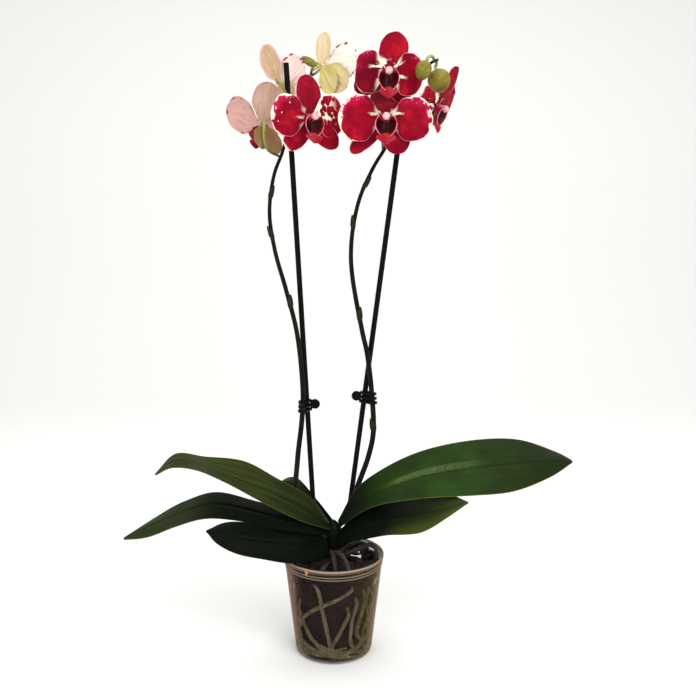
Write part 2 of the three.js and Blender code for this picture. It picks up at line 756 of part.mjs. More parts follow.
const PETAL = {
  fullest: 0.56, claw: 0.34, curl: 0.03, droop: 0.03, wave: 1, across: 4, along: 5,
  level: (lean) => 1 + 2.2 * Math.min(lean, 0),
};
const SEPAL = {
  fullest: 0.5, claw: 0.5, curl: 0.05, droop: 0.1, wave: 0.5, across: 2, along: 4, level: () => -0.6,
};

function tepalsGeometry({ petals, sepals }) {
  const { hubRadius, hubDepth } = BLOOM;
  return fuse([
    new THREE.CylinderGeometry(hubRadius, hubRadius, hubDepth, 6).rotateX(Math.PI / 2),
    ...petals.map((shape) => tepal(shape, PETAL)),
    ...sepals.map((shape) => tepal(shape, SEPAL)),
  ]);
}

/** The cup of the two side lobes, and the pointed middle lobe. */
function lipGeometry() {
  const { cup: bowl, tongue: lobe } = BLOOM;
  const cup = (s, t) => {
    const turn = radians(-90 + bowl.sweep * s);
    const radius = bowl.floorRadius + bowl.spread * Math.sqrt(Math.max(t, 0));
    const height = radius * Math.sin(turn) - bowl.below - bowl.sink * t;
    return new THREE.Vector3(radius * Math.cos(turn), height, bowl.ahead + bowl.depth * t);
  };
  const tongue = (s, t) => {
    const half = lobe.width / 2 * lookUp(lobe.shares, t);
    const forward = lobe.ahead + lobe.rise * t - lobe.sag * t * t - lobe.bow * s * s;
    return new THREE.Vector3(half * s, -lobe.below - lobe.length * t, forward);
  };
  return fuse([
    blade(8, 2, cup, () => BLOOM.bladeThickness),
    blade(2, 3, tongue, () => BLOOM.bladeThickness),
  ]);
}

function columnGeometry() {
  return turned(BLOOM.column.profile, 8).translate(0, BLOOM.column.above, BLOOM.hubDepth / 2 + GAP);
}

function bloomGroup(bloom) {
  const facing = vector(bloom.face).normalize();
  const up = new THREE.Vector3(0, 0, 1).addScaledVector(facing, -facing.z).normalize();
  const right = up.clone().cross(facing);
  const group = new THREE.Group();
  group.setRotationFromMatrix(new THREE.Matrix4().makeBasis(right, up, facing));
  group.position.set(...bloom.centre);
  group.scale.setScalar(bloom.size);
  const tepalColour = bloom.face[1] > 0 ? COLOURS.tepalBacks : COLOURS.tepals;
  group.add(piece(`${bloom.name}_tepals`, tepalsGeometry(bloom), tepalColour));
  group.add(piece(`${bloom.name}_lip`, lipGeometry(), COLOURS.lip, { roughness: 0.3 }));
  group.add(piece(`${bloom.name}_column`, columnGeometry(), COLOURS.column));
  return group;
}

// ---------------------------------------------------------------- buds

// towards points from the stalk to the bud's tip.
const BUDS = [
  { name: 'bud_1', centre: [-26.5, 4.5, 687], towards: [-0.88, 0, 0.48], length: 19, width: 9 },
  { name: 'bud_2', centre: [96.6, -46, 665.2], towards: [-0.35, -0.1, -0.93], length: 21, width: 17 },
  { name: 'bud_3', centre: [115.8, -28, 658.5], towards: [0.22, -0.25, -0.94], length: 25, width: 24.5 },
];

function budMesh({ name, centre, towards, length, width }) {
  const shape = [];
  const rows = 7;
  for (let i = 0; i <= rows; i += 1) {
    const turn = Math.PI * i / rows;
    const radius = width / 2 * Math.sin(turn) * (1 + 0.12 * Math.cos(turn));
    shape.push([i === 0 || i === rows ? 0 : radius, -length / 2 * Math.cos(turn)]);
  }
  const mesh = piece(name, turned(shape, 9), COLOURS.bud, { roughness: 0.5 });
  mesh.quaternion.setFromUnitVectors(new THREE.Vector3(0, 0, 1), vector(towards).normalize());
  mesh.position.set(...centre);
  return mesh;
}

// ---------------------------------------------------------------- the whole plant

const orchid = new THREE.Group();
orchid.add(piece('pot', potGeometry(), COLOURS.pot, { roughness: 0.25 }));
orchid.add(piece('bark', barkGeometry(), COLOURS.bark, { roughness: 0.9 }));
orchid.add(piece('roots', rootGeometry(), COLOURS.root));
orchid.add(piece('crown', crownGeometry(), COLOURS.crown));
LEAVES.forEach((leaf) => orchid.add(piece(leaf.name, leafGeometry(leaf), COLOURS.leaf, { roughness: 0.35 })));
STAKES.forEach(({ name, foot, top }) => {
  orchid.add(piece(name, straightRod(foot, top, STAKE.radius), COLOURS.stake, { roughness: 0.4 }));
});
SPIKES.forEach((spike) => orchid.add(piece(spike.name, spikeGeometry(spike), COLOURS.spike)));
CLIPS.forEach((clip) => orchid.add(piece(clip.name, clipGeometry(clip), COLOURS.clip, { roughness: 0.35 })));
BLOOMS.forEach((bloom) => orchid.add(bloomGroup(bloom)));
BUDS.forEach((bud) => orchid.add(budMesh(bud)));

export default orchid;
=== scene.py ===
import math
import random

import bmesh
import bpy
from mathutils import Matrix, Vector, noise


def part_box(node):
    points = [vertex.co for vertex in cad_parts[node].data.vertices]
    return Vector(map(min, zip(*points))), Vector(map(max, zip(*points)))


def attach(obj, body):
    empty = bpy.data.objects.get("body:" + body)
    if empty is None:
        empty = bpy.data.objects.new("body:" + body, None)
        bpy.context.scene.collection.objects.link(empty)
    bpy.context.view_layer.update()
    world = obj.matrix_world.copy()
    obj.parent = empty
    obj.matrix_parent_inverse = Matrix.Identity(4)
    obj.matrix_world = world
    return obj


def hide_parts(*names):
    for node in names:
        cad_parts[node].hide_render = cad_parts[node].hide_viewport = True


bl_info = {
    "name": "Potted orchid",
    "version": (1, 0, 0),
    "blender": (4, 5, 0),
    "location": "3D View > Sidebar > Orchid",
    "description": "Builds a staked moth orchid in a clear growing pot round its fixed frame",
    "category": "Add Mesh",
}

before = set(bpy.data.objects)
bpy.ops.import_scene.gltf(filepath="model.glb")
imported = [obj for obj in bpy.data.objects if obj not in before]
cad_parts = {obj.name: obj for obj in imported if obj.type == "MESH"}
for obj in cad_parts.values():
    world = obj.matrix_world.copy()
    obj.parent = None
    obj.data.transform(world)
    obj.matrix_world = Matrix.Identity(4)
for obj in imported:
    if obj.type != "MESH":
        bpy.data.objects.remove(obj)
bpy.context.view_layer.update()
POT_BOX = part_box("pot")

# Sizes and places are in millimetres, except where a shader reads them in metres.
MM = 0.001
GAP = 0.35                         # clearance between pieces that touch
WELD = 1e-4                        # vertices closer than this are merged
POT_WALL = 1.0


def tint(red, green, blue):
    """A scene-linear colour from display values of 0 to 255."""
    shares = [value / 255 for value in (red, green, blue)]
    linear = [s / 12.92 if s <= 0.04045 else ((s + 0.055) / 1.055) ** 2.4 for s in shares]
    return (*linear, 1.0)


def length_property(name, description, millimetres):
    """A length that a user may change, stored in metres."""
    return bpy.props.FloatProperty(
        name=name, description=description, default=millimetres * MM, unit="LENGTH", precision=4, min=0,
    )


def share_property(name, description, share):
    """A share from nothing to all."""
    return bpy.props.FloatProperty(
        name=name, description=description, default=share, subtype="FACTOR", min=0, max=1,
    )


def colour_property(name, description, colour):
    """A colour that a user may change."""
    return bpy.props.FloatVectorProperty(
        name=name, description=description, default=colour, subtype="COLOR", size=4, min=0, max=1,
    )


# ---------------------------------------------------------------- settings


class PotSettings(bpy.types.PropertyGroup):
    """Sizes and plastic of the growing pot."""

    height: length_property("Height", "Height of the pot", POT_BOX[1].z / MM)
    rim_radius: length_property("Rim radius", "Outside radius of the rim", 60)
    foot_radius: length_property("Foot radius", "Outside radius of the underside", 45.3)
    wall: length_property("Wall", "Thickness of the wall", POT_WALL)
    plastic: colour_property("Plastic", "Colour of the clear plastic", tint(46, 36, 34))
    # Partly painted highlight: the rim top and the ridge crests take this pale colour, for their thicker
    # plastic and for the light along them.
    rim_and_highlight_colour: colour_property("Rim colour", "Colour of the thicker rim", tint(158, 142, 122))
    haze: share_property("Haze", "How much the wall hides what is behind it", 0.2)


class FillingSettings(bpy.types.PropertyGroup):
    """Bark and roots inside the pot."""

    chips: bpy.props.IntProperty(
        name="Chips", description="How many pieces of bark are laid", default=270, min=0, max=600,
    )
    chip_size: length_property("Chip size", "Half the length of a usual piece of bark", 7.5)
    bark_colour: colour_property("Bark", "Colour of the bark", tint(38, 28, 27))
    root_colour: colour_property("Roots", "Colour of the roots in the pot", tint(140, 130, 98))
    root_radius: length_property("Root radius", "Radius of a usual root", 2.3)


class FoliageSettings(bpy.types.PropertyGroup):
    """Leaves and crown."""

    rib: length_property("Rib thickness", "Thickness of a leaf at its midrib", 1.9)
    edge: length_property("Edge thickness", "Thickness of a leaf at its edge", 0.7)
    groove: length_property("Groove", "Depth of the channel along the midrib", 1.6)
    green: colour_property("Green", "Colour of a leaf in the light", tint(17, 40, 2))
    # Painted shade: a leaf is painted in this colour near the crown, where shade falls.
    shaded_green: colour_property("Deep green", "Colour of a leaf near the crown", tint(3, 8, 4))
    margin: colour_property("Margin", "Colour along a leaf's edge", tint(92, 100, 36))


class StemSettings(bpy.types.PropertyGroup):
    """Flower spikes, stakes and clips."""

    spike_foot: length_property("Spike foot", "Radius of a spike at its foot", 3.3)
    spike_tip: length_property("Spike tip", "Radius of a spike at its tip", 1.5)
    stalk: length_property("Flower stalk", "Radius of a flower's stalk", 1.5)
    stake: length_property("Stake radius", "Radius of a stake", 3.15)
    spike_colour: colour_property("Spike", "Colour of the spikes", tint(13, 13, 8))
    stalk_colour: colour_property("Stalk", "Colour of the flower stalks", tint(142, 140, 58))
    stake_colour: colour_property("Stake", "Colour of the stakes and clips", tint(6, 6, 6))


class BloomSettings(bpy.types.PropertyGroup):
    """Blooms and buds."""

    thickness: length_property("Petal thickness", "Thickness of petals and sepals", 0.8)
    crimson: colour_property("Crimson", "Main colour of the petals", tint(144, 4, 34))
    magenta: colour_property("Magenta", "Colour of the petals near their margins", tint(194, 20, 76))
    cream: colour_property("Cream", "Colour of margins, stars and spots", tint(248, 236, 214))
    maroon: colour_property("Maroon", "Colour inside the lip", tint(66, 4, 14))
    orange: colour_property("Orange", "Colour of the lip's middle lobe", tint(168, 22, 34))
    bud_green: colour_property("Bud", "Colour of the buds", tint(122, 112, 40))


class StageSettings(bpy.types.PropertyGroup):
    """Floor, light and camera."""

    floor: colour_property("Floor", "Colour of the floor and backdrop", tint(250, 250, 248))
    key: bpy.props.FloatProperty(
        name="Key light", description="Power of the main soft light", default=30, unit="POWER",
    )
    camera_distance: length_property("Camera distance", "How far the camera stands in front", 875.6)
    camera_height: length_property("Camera height", "Height of the camera", 467.4)
    camera_side: length_property("Camera side", "How far the camera stands to the right", 17.2)
    camera_pitch: bpy.props.FloatProperty(
        name="Camera pitch", description="How far the camera looks down", unit="ROTATION",
        default=math.radians(6.69),
    )
    lens: bpy.props.FloatProperty(
        name="Lens", description="Focal length of the camera, in millimetres", default=39.22,
    )


# ---------------------------------------------------------------- shader arithmetic

# A Mix node's sockets share their names, so its factor and colours are taken by number.
MIX_FACTOR, MIX_FIRST, MIX_SECOND, MIX_COLOUR = 0, 6, 7, 2


class Value:
    """A shader socket in an expression: arithmetic on it adds Math nodes."""

    def __init__(self, shader, socket):
        self.shader = shader
        self.socket = socket

    def math(self, operation, *values):
        return self.shader.node("ShaderNodeMath", {"operation": operation}, dict(enumerate(values)))

    def __add__(self, other):
        return self.math("ADD", self, other)

    def __radd__(self, other):
        return self.math("ADD", other, self)

    def __sub__(self, other):
        return self.math("SUBTRACT", self, other)

    def __rsub__(self, other):
        return self.math("SUBTRACT", other, self)

    def __mul__(self, other):
        return self.math("MULTIPLY", self, other)

    def __rmul__(self, other):
        return self.math("MULTIPLY", other, self)

    def __truediv__(self, other):
        return self.math("DIVIDE", self, other)

    def __abs__(self):
        return self.math("ABSOLUTE", self)

    def over(self, low, high):
        """Rises smoothly from 0 at low to 1 at high."""
        settings = {"interpolation_type": "SMOOTHSTEP"}
        inputs = {"Value": self, "From Min": low, "From Max": high}
        return self.shader.node("ShaderNodeMapRange", settings, inputs)

    def below(self, low, high):
        """Falls smoothly from 1 at low to 0 at high."""
        return 1 - self.over(low, high)

    def sine(self):
        return self.math("SINE", self)

    def most(self, other):
        return self.math("MAXIMUM", self, other)

    def least(self, other):
        return self.math("MINIMUM", self, other)


class Shader:
    """A material's nodes, written as expressions."""

    def __init__(self, name):
        self.material = bpy.data.materials.new(name)
        self.material.use_nodes = True
        self.tree = self.material.node_tree
        self.surface = self.tree.nodes["Principled BSDF"]

    def node(self, kind, settings=None, inputs=None, output=0):
        """Adds a node: its settings first, then the values or links of its sockets."""
        made = self.tree.nodes.new(kind)
        for key, value in (settings or {}).items():
            setattr(made, key, value)
        for key, value in (inputs or {}).items():
            self.feed(made.inputs[key], value)
        return Value(self, made.outputs[output])

    def feed(self, socket, value):
        if isinstance(value, Value):
            self.tree.links.new(value.socket, socket)
        else:
            socket.default_value = value

    def place(self):
        """The place on the plant, in metres."""
        return self.node("ShaderNodeTexCoord", output="Object")

    def attribute(self, name):
        """A mark that the mesh carries on its vertices."""
        return self.node("ShaderNodeAttribute", {"attribute_name": name}, output="Fac")

    def axes(self, vector):
        split = self.node("ShaderNodeSeparateXYZ", inputs={"Vector": vector})
        return [Value(self, socket) for socket in split.socket.node.outputs]

    def vector(self, x, y, z=0.0):
        return self.node("ShaderNodeCombineXYZ", inputs={"X": x, "Y": y, "Z": z})

    def mix(self, first, second, factor):
        """A colour that goes from first to second."""
        inputs = {MIX_FACTOR: factor, MIX_FIRST: first, MIX_SECOND: second}
        return self.node("ShaderNodeMix", {"data_type": "RGBA"}, inputs, MIX_COLOUR)

    def noise(self, vector, scale, detail, roughness=0.5):
        inputs = {"Vector": vector, "Scale": scale, "Detail": detail, "Roughness": roughness}
        return self.node("ShaderNodeTexNoise", inputs=inputs)

    def cells(self, vector, scale, output="Distance"):
        """The distance to the nearest of many scattered points, or the colour of that point's cell."""
        return self.node("ShaderNodeTexVoronoi", inputs={"Vector": vector, "Scale": scale}, output=output)

    def bump(self, height, distance, strength):
        inputs = {"Height": height, "Distance": distance, "Strength": strength}
        return self.node("ShaderNodeBump", inputs=inputs)

    def finish(self, **sockets):
        """Sets the surface's sockets, named in plain words with underscores."""
        for key, value in sockets.items():
            name = " ".join(word.upper() if word == "ior" else word.capitalize() for word in key.split("_"))
            self.feed(self.surface.inputs[name], value)
        return self.material


# ---------------------------------------------------------------- shape helpers, in millimetres


def smooth(value, low, high):
    """Rises smoothly from 0 at low to 1 at high."""
    share = min(max((value - low) / (high - low), 0), 1)
    return share * share * (3 - 2 * share)


def blend(low, high, share):
    return low + (high - low) * share


def look_up(pairs, value):
    """Straight-line look-up in a list of (input, output) pairs."""
    if value <= pairs[0][0]:
        return pairs[0][1]
    for (x0, y0), (x1, y1) in zip(pairs, pairs[1:]):
        if value <= x1:
            return y0 + (y1 - y0) * (value - x0) / (x1 - x0)
    return pairs[-1][1]


def around(angle, radius, z):
    """A place given by its angle from the front, positive towards +X, its radius and height."""
    turn = math.radians(angle)
    return (radius * math.sin(turn), -radius * math.cos(turn), z)


class Path:
    """A smooth curve through points, as a centripetal spline."""

    SAMPLES = 300

    def __init__(self, points):
        self.points = [Vector(point) for point in points]
        self.lengths = [0.0]
        places = [self.at(i / self.SAMPLES) for i in range(self.SAMPLES + 1)]
        for a, b in zip(places, places[1:]):
            self.lengths.append(self.lengths[-1] + (b - a).length)
        self.length = self.lengths[-1]

    def at(self, share):
        """The point at a share of the way through the list of points."""
        last = len(self.points) - 1
        reach = min(max(share, 0), 1) * last
        step = min(int(reach), last - 1)
        weight = reach - step
        b, c = self.points[step], self.points[step + 1]
        a = self.points[step - 1] if step else 2 * b - c
        d = self.points[step + 2] if step + 2 <= last else 2 * c - b
        before, middle, after = [math.sqrt((q - p).length) or 1 for p, q in ((a, b), (b, c), (c, d))]
        leave = ((b - a) / before - (c - a) / (before + middle) + (c - b) / middle) * middle
        arrive = ((c - b) / middle - (d - b) / (middle + after) + (d - c) / after) * middle
        square, cube = weight ** 2, weight ** 3
        return (b + leave * weight + (3 * (c - b) - 2 * leave - arrive) * square
                + (2 * (b - c) + leave + arrive) * cube)

    def along(self, share):
        """The point at a share of the curve's length."""
        want = min(max(share, 0), 1) * self.length
        low, high = 0, self.SAMPLES
        while high - low > 1:
            middle = (low + high) // 2
            if self.lengths[middle] <= want:
                low = middle
            else:
                high = middle
        span = self.lengths[high] - self.lengths[low] or 1
        return self.at((low + (want - self.lengths[low]) / span) / self.SAMPLES)

    def heading(self, share):
        step = 0.004
        return (self.along(share + step) - self.along(share - step)).normalized()

    def frames(self, steps):
        """Points with two crosswise directions each, carried along without a twist."""
        side = None
        rows = []
        for i in range(steps + 1):
            ahead = self.heading(i / steps)
            if side is None:
                side = ahead.orthogonal().normalized()
            side = (side - ahead * side.dot(ahead)).normalized()
            rows.append((self.along(i / steps), side, ahead.cross(side)))
        return rows


def mark_layers(mesh, names):
    """The layers of values on the vertices that hold the named marks."""
    layers = mesh.verts.layers.float
    return {name: layers.get(name) or layers.new(name) for name in names}


def add_rod(mesh, path, radius_at, steps, sides, settle=None, marks=None):
    """Adds a closed rod along a path; radius_at takes the share along it and the turn round it."""
    rows = path.frames(steps)
    rows = [rows[0], *rows, rows[-1]]
    count = len(rows) - 1
    marks = marks or {}
    layers = mark_layers(mesh, marks)
    grid = bmesh.ops.create_grid(mesh, x_segments=sides, y_segments=count, size=0.5)["verts"]
    for vert in grid:
        turn = (vert.co.x + 0.5) * math.tau
        row = round((vert.co.y + 0.5) * count)
        share = min(max((row - 1) / steps, 0), 1)
        centre, side, across = rows[row]
        if settle:
            centre = settle(centre)
        radius = 0 if row in (0, count) else radius_at(share, turn)
        vert.co = centre + (side * math.cos(turn) + across * math.sin(turn)) * radius
        for name, value_at in marks.items():
            vert[layers[name]] = value_at(share)
    bmesh.ops.remove_doubles(mesh, verts=grid, dist=WELD)


def add_loop(mesh, turns, sides, place_at):
    """Adds a rod closed on itself; place_at takes the turn round the loop and round its section."""
    grid = bmesh.ops.create_grid(mesh, x_segments=turns, y_segments=sides, size=0.5)["verts"]
    for vert in grid:
        vert.co = place_at((vert.co.x + 0.5) * math.tau, (vert.co.y + 0.5) * math.tau)
    bmesh.ops.remove_doubles(mesh, verts=grid, dist=WELD)


def add_sheet(mesh, columns, rows, surface, thickness_at, marks, flip=False):
    """Adds a closed thin sheet: surface(s, t) runs over s = -1..1 across and t = 0..1 along."""
    marks = {"side": lambda s, t: 1, **marks}
    layers = mark_layers(mesh, marks)
    front = bmesh.ops.create_grid(mesh, x_segments=columns, y_segments=rows, size=1)["verts"]
    places = {}
    for vert in front:
        s, t = vert.co.x, (vert.co.y + 1) / 2
        places[vert] = (s, t)
        vert.co = surface(s, t)
        for name, value_at in marks.items():
            vert[layers[name]] = value_at(s, t)
    faces = once(face for vert in front for face in vert.link_faces)
    if flip:
        bmesh.ops.reverse_faces(mesh, faces=faces)
    mesh.normal_update()
    edges = once(edge for face in faces for edge in face.edges)
    copy = bmesh.ops.duplicate(mesh, geom=[*front, *edges, *faces])
    twins = copy["vert_map"]
    offsets = {vert: vert.normal * thickness_at(*places[vert]) / 2 for vert in front}
    for vert in front:
        twin = twins[vert]
        twin.co = vert.co - offsets[vert]
        twin[layers["side"]] = 0
        vert.co = vert.co + offsets[vert]
    back = [item for item in copy["geom"] if isinstance(item, bmesh.types.BMFace)]
    bmesh.ops.reverse_faces(mesh, faces=back)
    rim = once(edge for face in (*faces, *back) for edge in face.edges if edge.is_boundary)
    bmesh.ops.bridge_loops(mesh, edges=rim)


def add_turned(mesh, profile, steps):
    """Spins a profile of (radius, height) pairs about Z into a closed body."""
    verts = [mesh.verts.new((radius, 0, height)) for radius, height in profile]
    edges = [mesh.edges.new(pair) for pair in zip(verts, verts[1:])]
    bmesh.ops.spin(
        mesh, geom=[*verts, *edges], axis=(0, 0, 1), cent=(0, 0, 0), angle=math.tau, steps=steps,
        use_merge=True,
    )
    made = once(vert for face in mesh.faces for vert in face.verts)
    bmesh.ops.remove_doubles(mesh, verts=made, dist=WELD)


def as_object(name, mesh, material, crease=40):
    """Scales a bmesh from millimetres and makes it a smooth-shaded object."""
    bmesh.ops.scale(mesh, vec=(MM, MM, MM), verts=mesh.verts)
    data = bpy.data.meshes.new(name)
    mesh.to_mesh(data)
    mesh.free()
    data.shade_smooth()
    data.set_sharp_from_angle(angle=math.radians(crease))
    data.materials.append(material)
    made = bpy.data.objects.new(name, data)
    bpy.context.scene.collection.objects.link(made)
    return made


def stand_for(piece, slot, *nodes):
    """Rides a finished piece on the plant and lets it stand for its solids."""
    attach(piece, "root")
    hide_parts(*nodes)


def once(items):
    """The items as a list, each once and in their order."""
    return list(dict.fromkeys(items))


def facing_out(mesh):
    """Turns the faces of closed bodies outwards."""
    bmesh.ops.recalc_face_normals(mesh, faces=mesh.faces)


# ---------------------------------------------------------------- pot

WALL_FOOT = (46.2, 5.0)            # radius and height where the taper starts
WALL_TOP = (58.4, 110.0)
RIDGES = (107.0, 110.2)            # heights of the two rings round the wall
RIDGE_PROUD = 0.5
RIDGE_FLAT = 0.25                  # half of the height of a ridge's crest
RIDGE_FOOT = 0.8                   # half of the height of its foot
RIM_DEPTH = 4.0
FLOOR_TOP = 1.2
UNDERSIDE = 0.5                    # how far the underside is raised inside the foot ring
RING_WIDTH = 8.0
OUTSIDE_HEIGHTS = range(14, 105, 9)
INSIDE_HEIGHTS = (100, 75, 50, 25, 14)
# Stretches of the section, as steps outwards and upwards from the foot's or the rim's edge.
FOOT_RING = [(-RING_WIDTH, UNDERSIDE), (-6, 0), (-1.6, 0), (-0.5, 0.5), (0, 1.6)]
RIM_UNDER = [(-0.4, 0.3), (0, 0.9)]
RIM_OVER = [(0, -0.8), (-0.3, -0.2), (-0.8, 0), (-1.8, 0), (-2.3, -0.5)]
SLOT_WIDTH = 5.0
SLOT_HEIGHTS = (4.5, 13.5)
SLOT_DEPTH = 12                    # how far the cutter reaches through the wall
SLOT_COUNT = 8
SLOT_TURN = 22.0                   # degrees from the front to the first slot
WALL_CREASE = 32                   # degrees past which an edge of the wall is sharp
# What the plastic's pattern follows, in metres: places on the front, and heights between which it changes.
FLECK = (-0.03, 0.1138)
FLECK_SIZE = (0.0022, 0.0046)
RIM_PALE = (0.1158, 0.117)
BAND_PALE = (0.1128, 0.1136)
RIDGE_PALE = (0.0003, 0.0009)      # distances from a ridge's crest
ALGAE_FADE = (0.004, 0.03)
ABOVE_BARK = (0.1, 0.108)


def pot_radius(z):
    """The radius of the tapered wall's outside at a height."""
    return blend(WALL_FOOT[0], WALL_TOP[0], (z - WALL_FOOT[1]) / (WALL_TOP[1] - WALL_FOOT[1]))


def stepped(steps, radius, height):
    """Points of a section, given as steps outwards and upwards from one place on it."""
    return [(radius + out, height + up) for out, up in steps]


def pot_profile(pot):
    """The wall's section, from the middle of the underside round to the middle of the floor."""
    height, rim, foot, wall = pot.height / MM, pot.rim_radius / MM, pot.foot_radius / MM, pot.wall / MM
    rim_foot = height - RIM_DEPTH
    outside = [(0, UNDERSIDE), *stepped(FOOT_RING, foot, 0), WALL_FOOT]
    outside += [(pot_radius(z), z) for z in OUTSIDE_HEIGHTS]
    for z in RIDGES:
        low, high, crest = z - RIDGE_FOOT, z + RIDGE_FOOT, pot_radius(z) + RIDGE_PROUD
        outside += [(pot_radius(low), low), (crest, z - RIDGE_FLAT)]
        outside += [(crest, z + RIDGE_FLAT), (pot_radius(high), high)]
    outside += [(pot_radius(rim_foot), rim_foot), *stepped(RIM_UNDER, rim, rim_foot)]
    inside = [(pot_radius(z) - wall, z) for z in (rim_foot - 1, *INSIDE_HEIGHTS)]
    inside += [(WALL_FOOT[0] - wall, WALL_FOOT[1]), (foot - wall - 0.6, FLOOR_TOP + 0.2)]
    inside += [(foot - RING_WIDTH, FLOOR_TOP), (0, FLOOR_TOP)]
    return [*outside, *stepped(RIM_OVER, rim, height), *inside]


def clear_plastic(pot):
    """Hazy plastic, paler at the rim and where it turns away, with scuffs and a film of algae low down. The
    pale rim top and ridge crests carry a painted highlight, the left side a painted paler sheen and the
    turned-away wall a painted reflection.
    """
    shader = Shader("clear_plastic")
    place = shader.place()
    x, y, z = shader.axes(place)
    cloud = shader.noise(shader.vector(x, y, z * 0.25), 38, 3)
    scuffs = shader.noise(shader.vector(x * 0.5, y * 0.5, z * 4), 70, 3, 0.6)
    # The pale line round the rim top and along the ridge crests is partly thicker plastic and partly a
    # painted highlight.
    rim = z.over(*RIM_PALE)
    band = z.over(*BAND_PALE)
    ridge, upper_ridge = (abs(z - height * MM).below(*RIDGE_PALE) for height in RIDGES)
    ridges = (ridge + upper_ridge).least(1)
    away = abs(x - FLECK[0]) / FLECK_SIZE[0] + abs(z - FLECK[1]) / FLECK_SIZE[1]
    fleck = (away + (shader.noise(place, 500, 2) - 0.5) * 2).below(0.8, 1.2) * y.below(-0.03, -0.02)
    foot = z.below(*ALGAE_FADE) * cloud.over(0.3, 0.65)
    right = x.over(0.012, 0.046) * cloud.over(0.2, 0.6)
    # Painted sheen: the left side is paler and hazier, standing for the wall seen edge-on from the front.
    left = x.below(-0.05, -0.034)
    # Paler and hazier where the wall turns away from the view: partly the longer path through the plastic,
    # partly a painted reflection.
    facing = shader.node("ShaderNodeLayerWeight", inputs={"Blend": 0.5}, output="Facing")
    flank = facing.over(0.45, 0.76)
    colour = shader.mix(pot.plastic, tint(38, 28, 34), cloud.over(0.5, 0.75) * 0.6)
    colour = shader.mix(colour, tint(100, 88, 52), (foot * 0.7 + right * 0.6).least(1))
    colour = shader.mix(colour, tint(142, 112, 92), left * 0.6)
    colour = shader.mix(colour, tint(146, 122, 102), flank * 0.7)
    colour = shader.mix(colour, tint(124, 102, 84), band * 0.7)
    colour = shader.mix(colour, pot.rim_and_highlight_colour, (rim * 0.9 + ridges * 0.7).least(1))
    colour = shader.mix(colour, tint(190, 126, 96), fleck)
    haze = pot.haze + cloud.over(0.3, 0.8) * 0.05 + foot * 0.08 + right * 0.06 + left * 0.16
    haze = haze + rim * 0.65 + band * 0.3 + ridges * 0.5 + fleck * 0.7 + scuffs.over(0.6, 0.8) * 0.03
    haze = haze + z.over(*ABOVE_BARK) * 0.08 + flank * 0.2
    roughness = 0.3 + scuffs.over(0.4, 0.8) * 0.2
    normal = shader.bump(scuffs, 0.0002, 0.3)
    return shader.finish(
        base_color=colour, alpha=haze.least(0.96), roughness=roughness, normal=normal, specular_ior_level=0.0)


class ORCHID_OT_pot(bpy.types.Operator):
    """Build the clear growing pot with its rim, ridges and drain slots"""

    bl_idname = "orchid.pot"
    bl_label = "Pot"

    def execute(self, context):
        pot = context.scene.orchid_pot
        mesh = bmesh.new()
        add_turned(mesh, pot_profile(pot), 120)
        facing_out(mesh)
        wall = as_object("pot_wall", mesh, clear_plastic(pot), crease=WALL_CREASE)
        cutter_mesh = bmesh.new()
        low, high = SLOT_HEIGHTS
        for i in range(SLOT_COUNT):
            turn = Matrix.Rotation(math.radians(SLOT_TURN + i * 360 / SLOT_COUNT), 4, "Z")
            place = turn @ Matrix.Translation((0, -pot.foot_radius / MM, (low + high) / 2))
            size = Matrix.Diagonal((SLOT_WIDTH, SLOT_DEPTH, high - low, 1))
            bmesh.ops.create_cube(cutter_mesh, size=1, matrix=place @ size)
        cutter = as_object("slot_cutter", cutter_mesh, wall.data.materials[0])
        cut = wall.modifiers.new("Drain slots", "BOOLEAN")
        cut.object = cutter
        cut.solver = "EXACT"
        shaped = bpy.data.meshes.new_from_object(wall.evaluated_get(context.evaluated_depsgraph_get()))
        wall.modifiers.clear()
        wall.data = shaped
        shaped.set_sharp_from_angle(angle=math.radians(WALL_CREASE))
        bpy.data.objects.remove(cutter)
        stand_for(wall, "clear_plastic", "pot")
        return {"FINISHED"}


# ---------------------------------------------------------------- bark and roots

BARK_FOOT = 1.7
BARK_TOP = 99.0
BARK_HEIGHTS = (5, 20, 35, 50, 65, 80, 92)
BARK_SEED = 71
CHIP_LOWEST = 1.6
CHIP_EDGE = 36                     # pieces on top past this radius lie higher, against the wall
CHIP_TURN = 137.5                  # degrees from one piece of bark to the next, which spreads them evenly
BANKED_TURN = 41
BANK = (55, 250)                   # the angles between which the banked pieces rise higher
WALL_PLAY = 0.5                    # what stays free between the roots and the pot's wall
ROOTS_IN_MAT = 16
ROOTLETS = 30
ROOTLET_FLANKS = (-82, -66, 62, 80, 100, 150, 180, 215, 250)
ROOT_DRY = (0.094, 0.104)          # heights between which the roots turn dry and dark, in metres
# The root stock and the crown above it, as (height, radius) pairs.
STOCK = [(88, 7), (96, 9.5), (110, 11), (130, 12), (142, 11.5), (150, 9), (155, 5.5), (158.5, 1.2)]
CROWN_TOP = 158.5
STOCK_SPLIT = 125.6                # the root stock ends and the green crown begins
CROWN_STEPS = 24
SHEATH_HEIGHT = 6.5                # from one old leaf base to the next
SHEATH_EDGE = 0.5

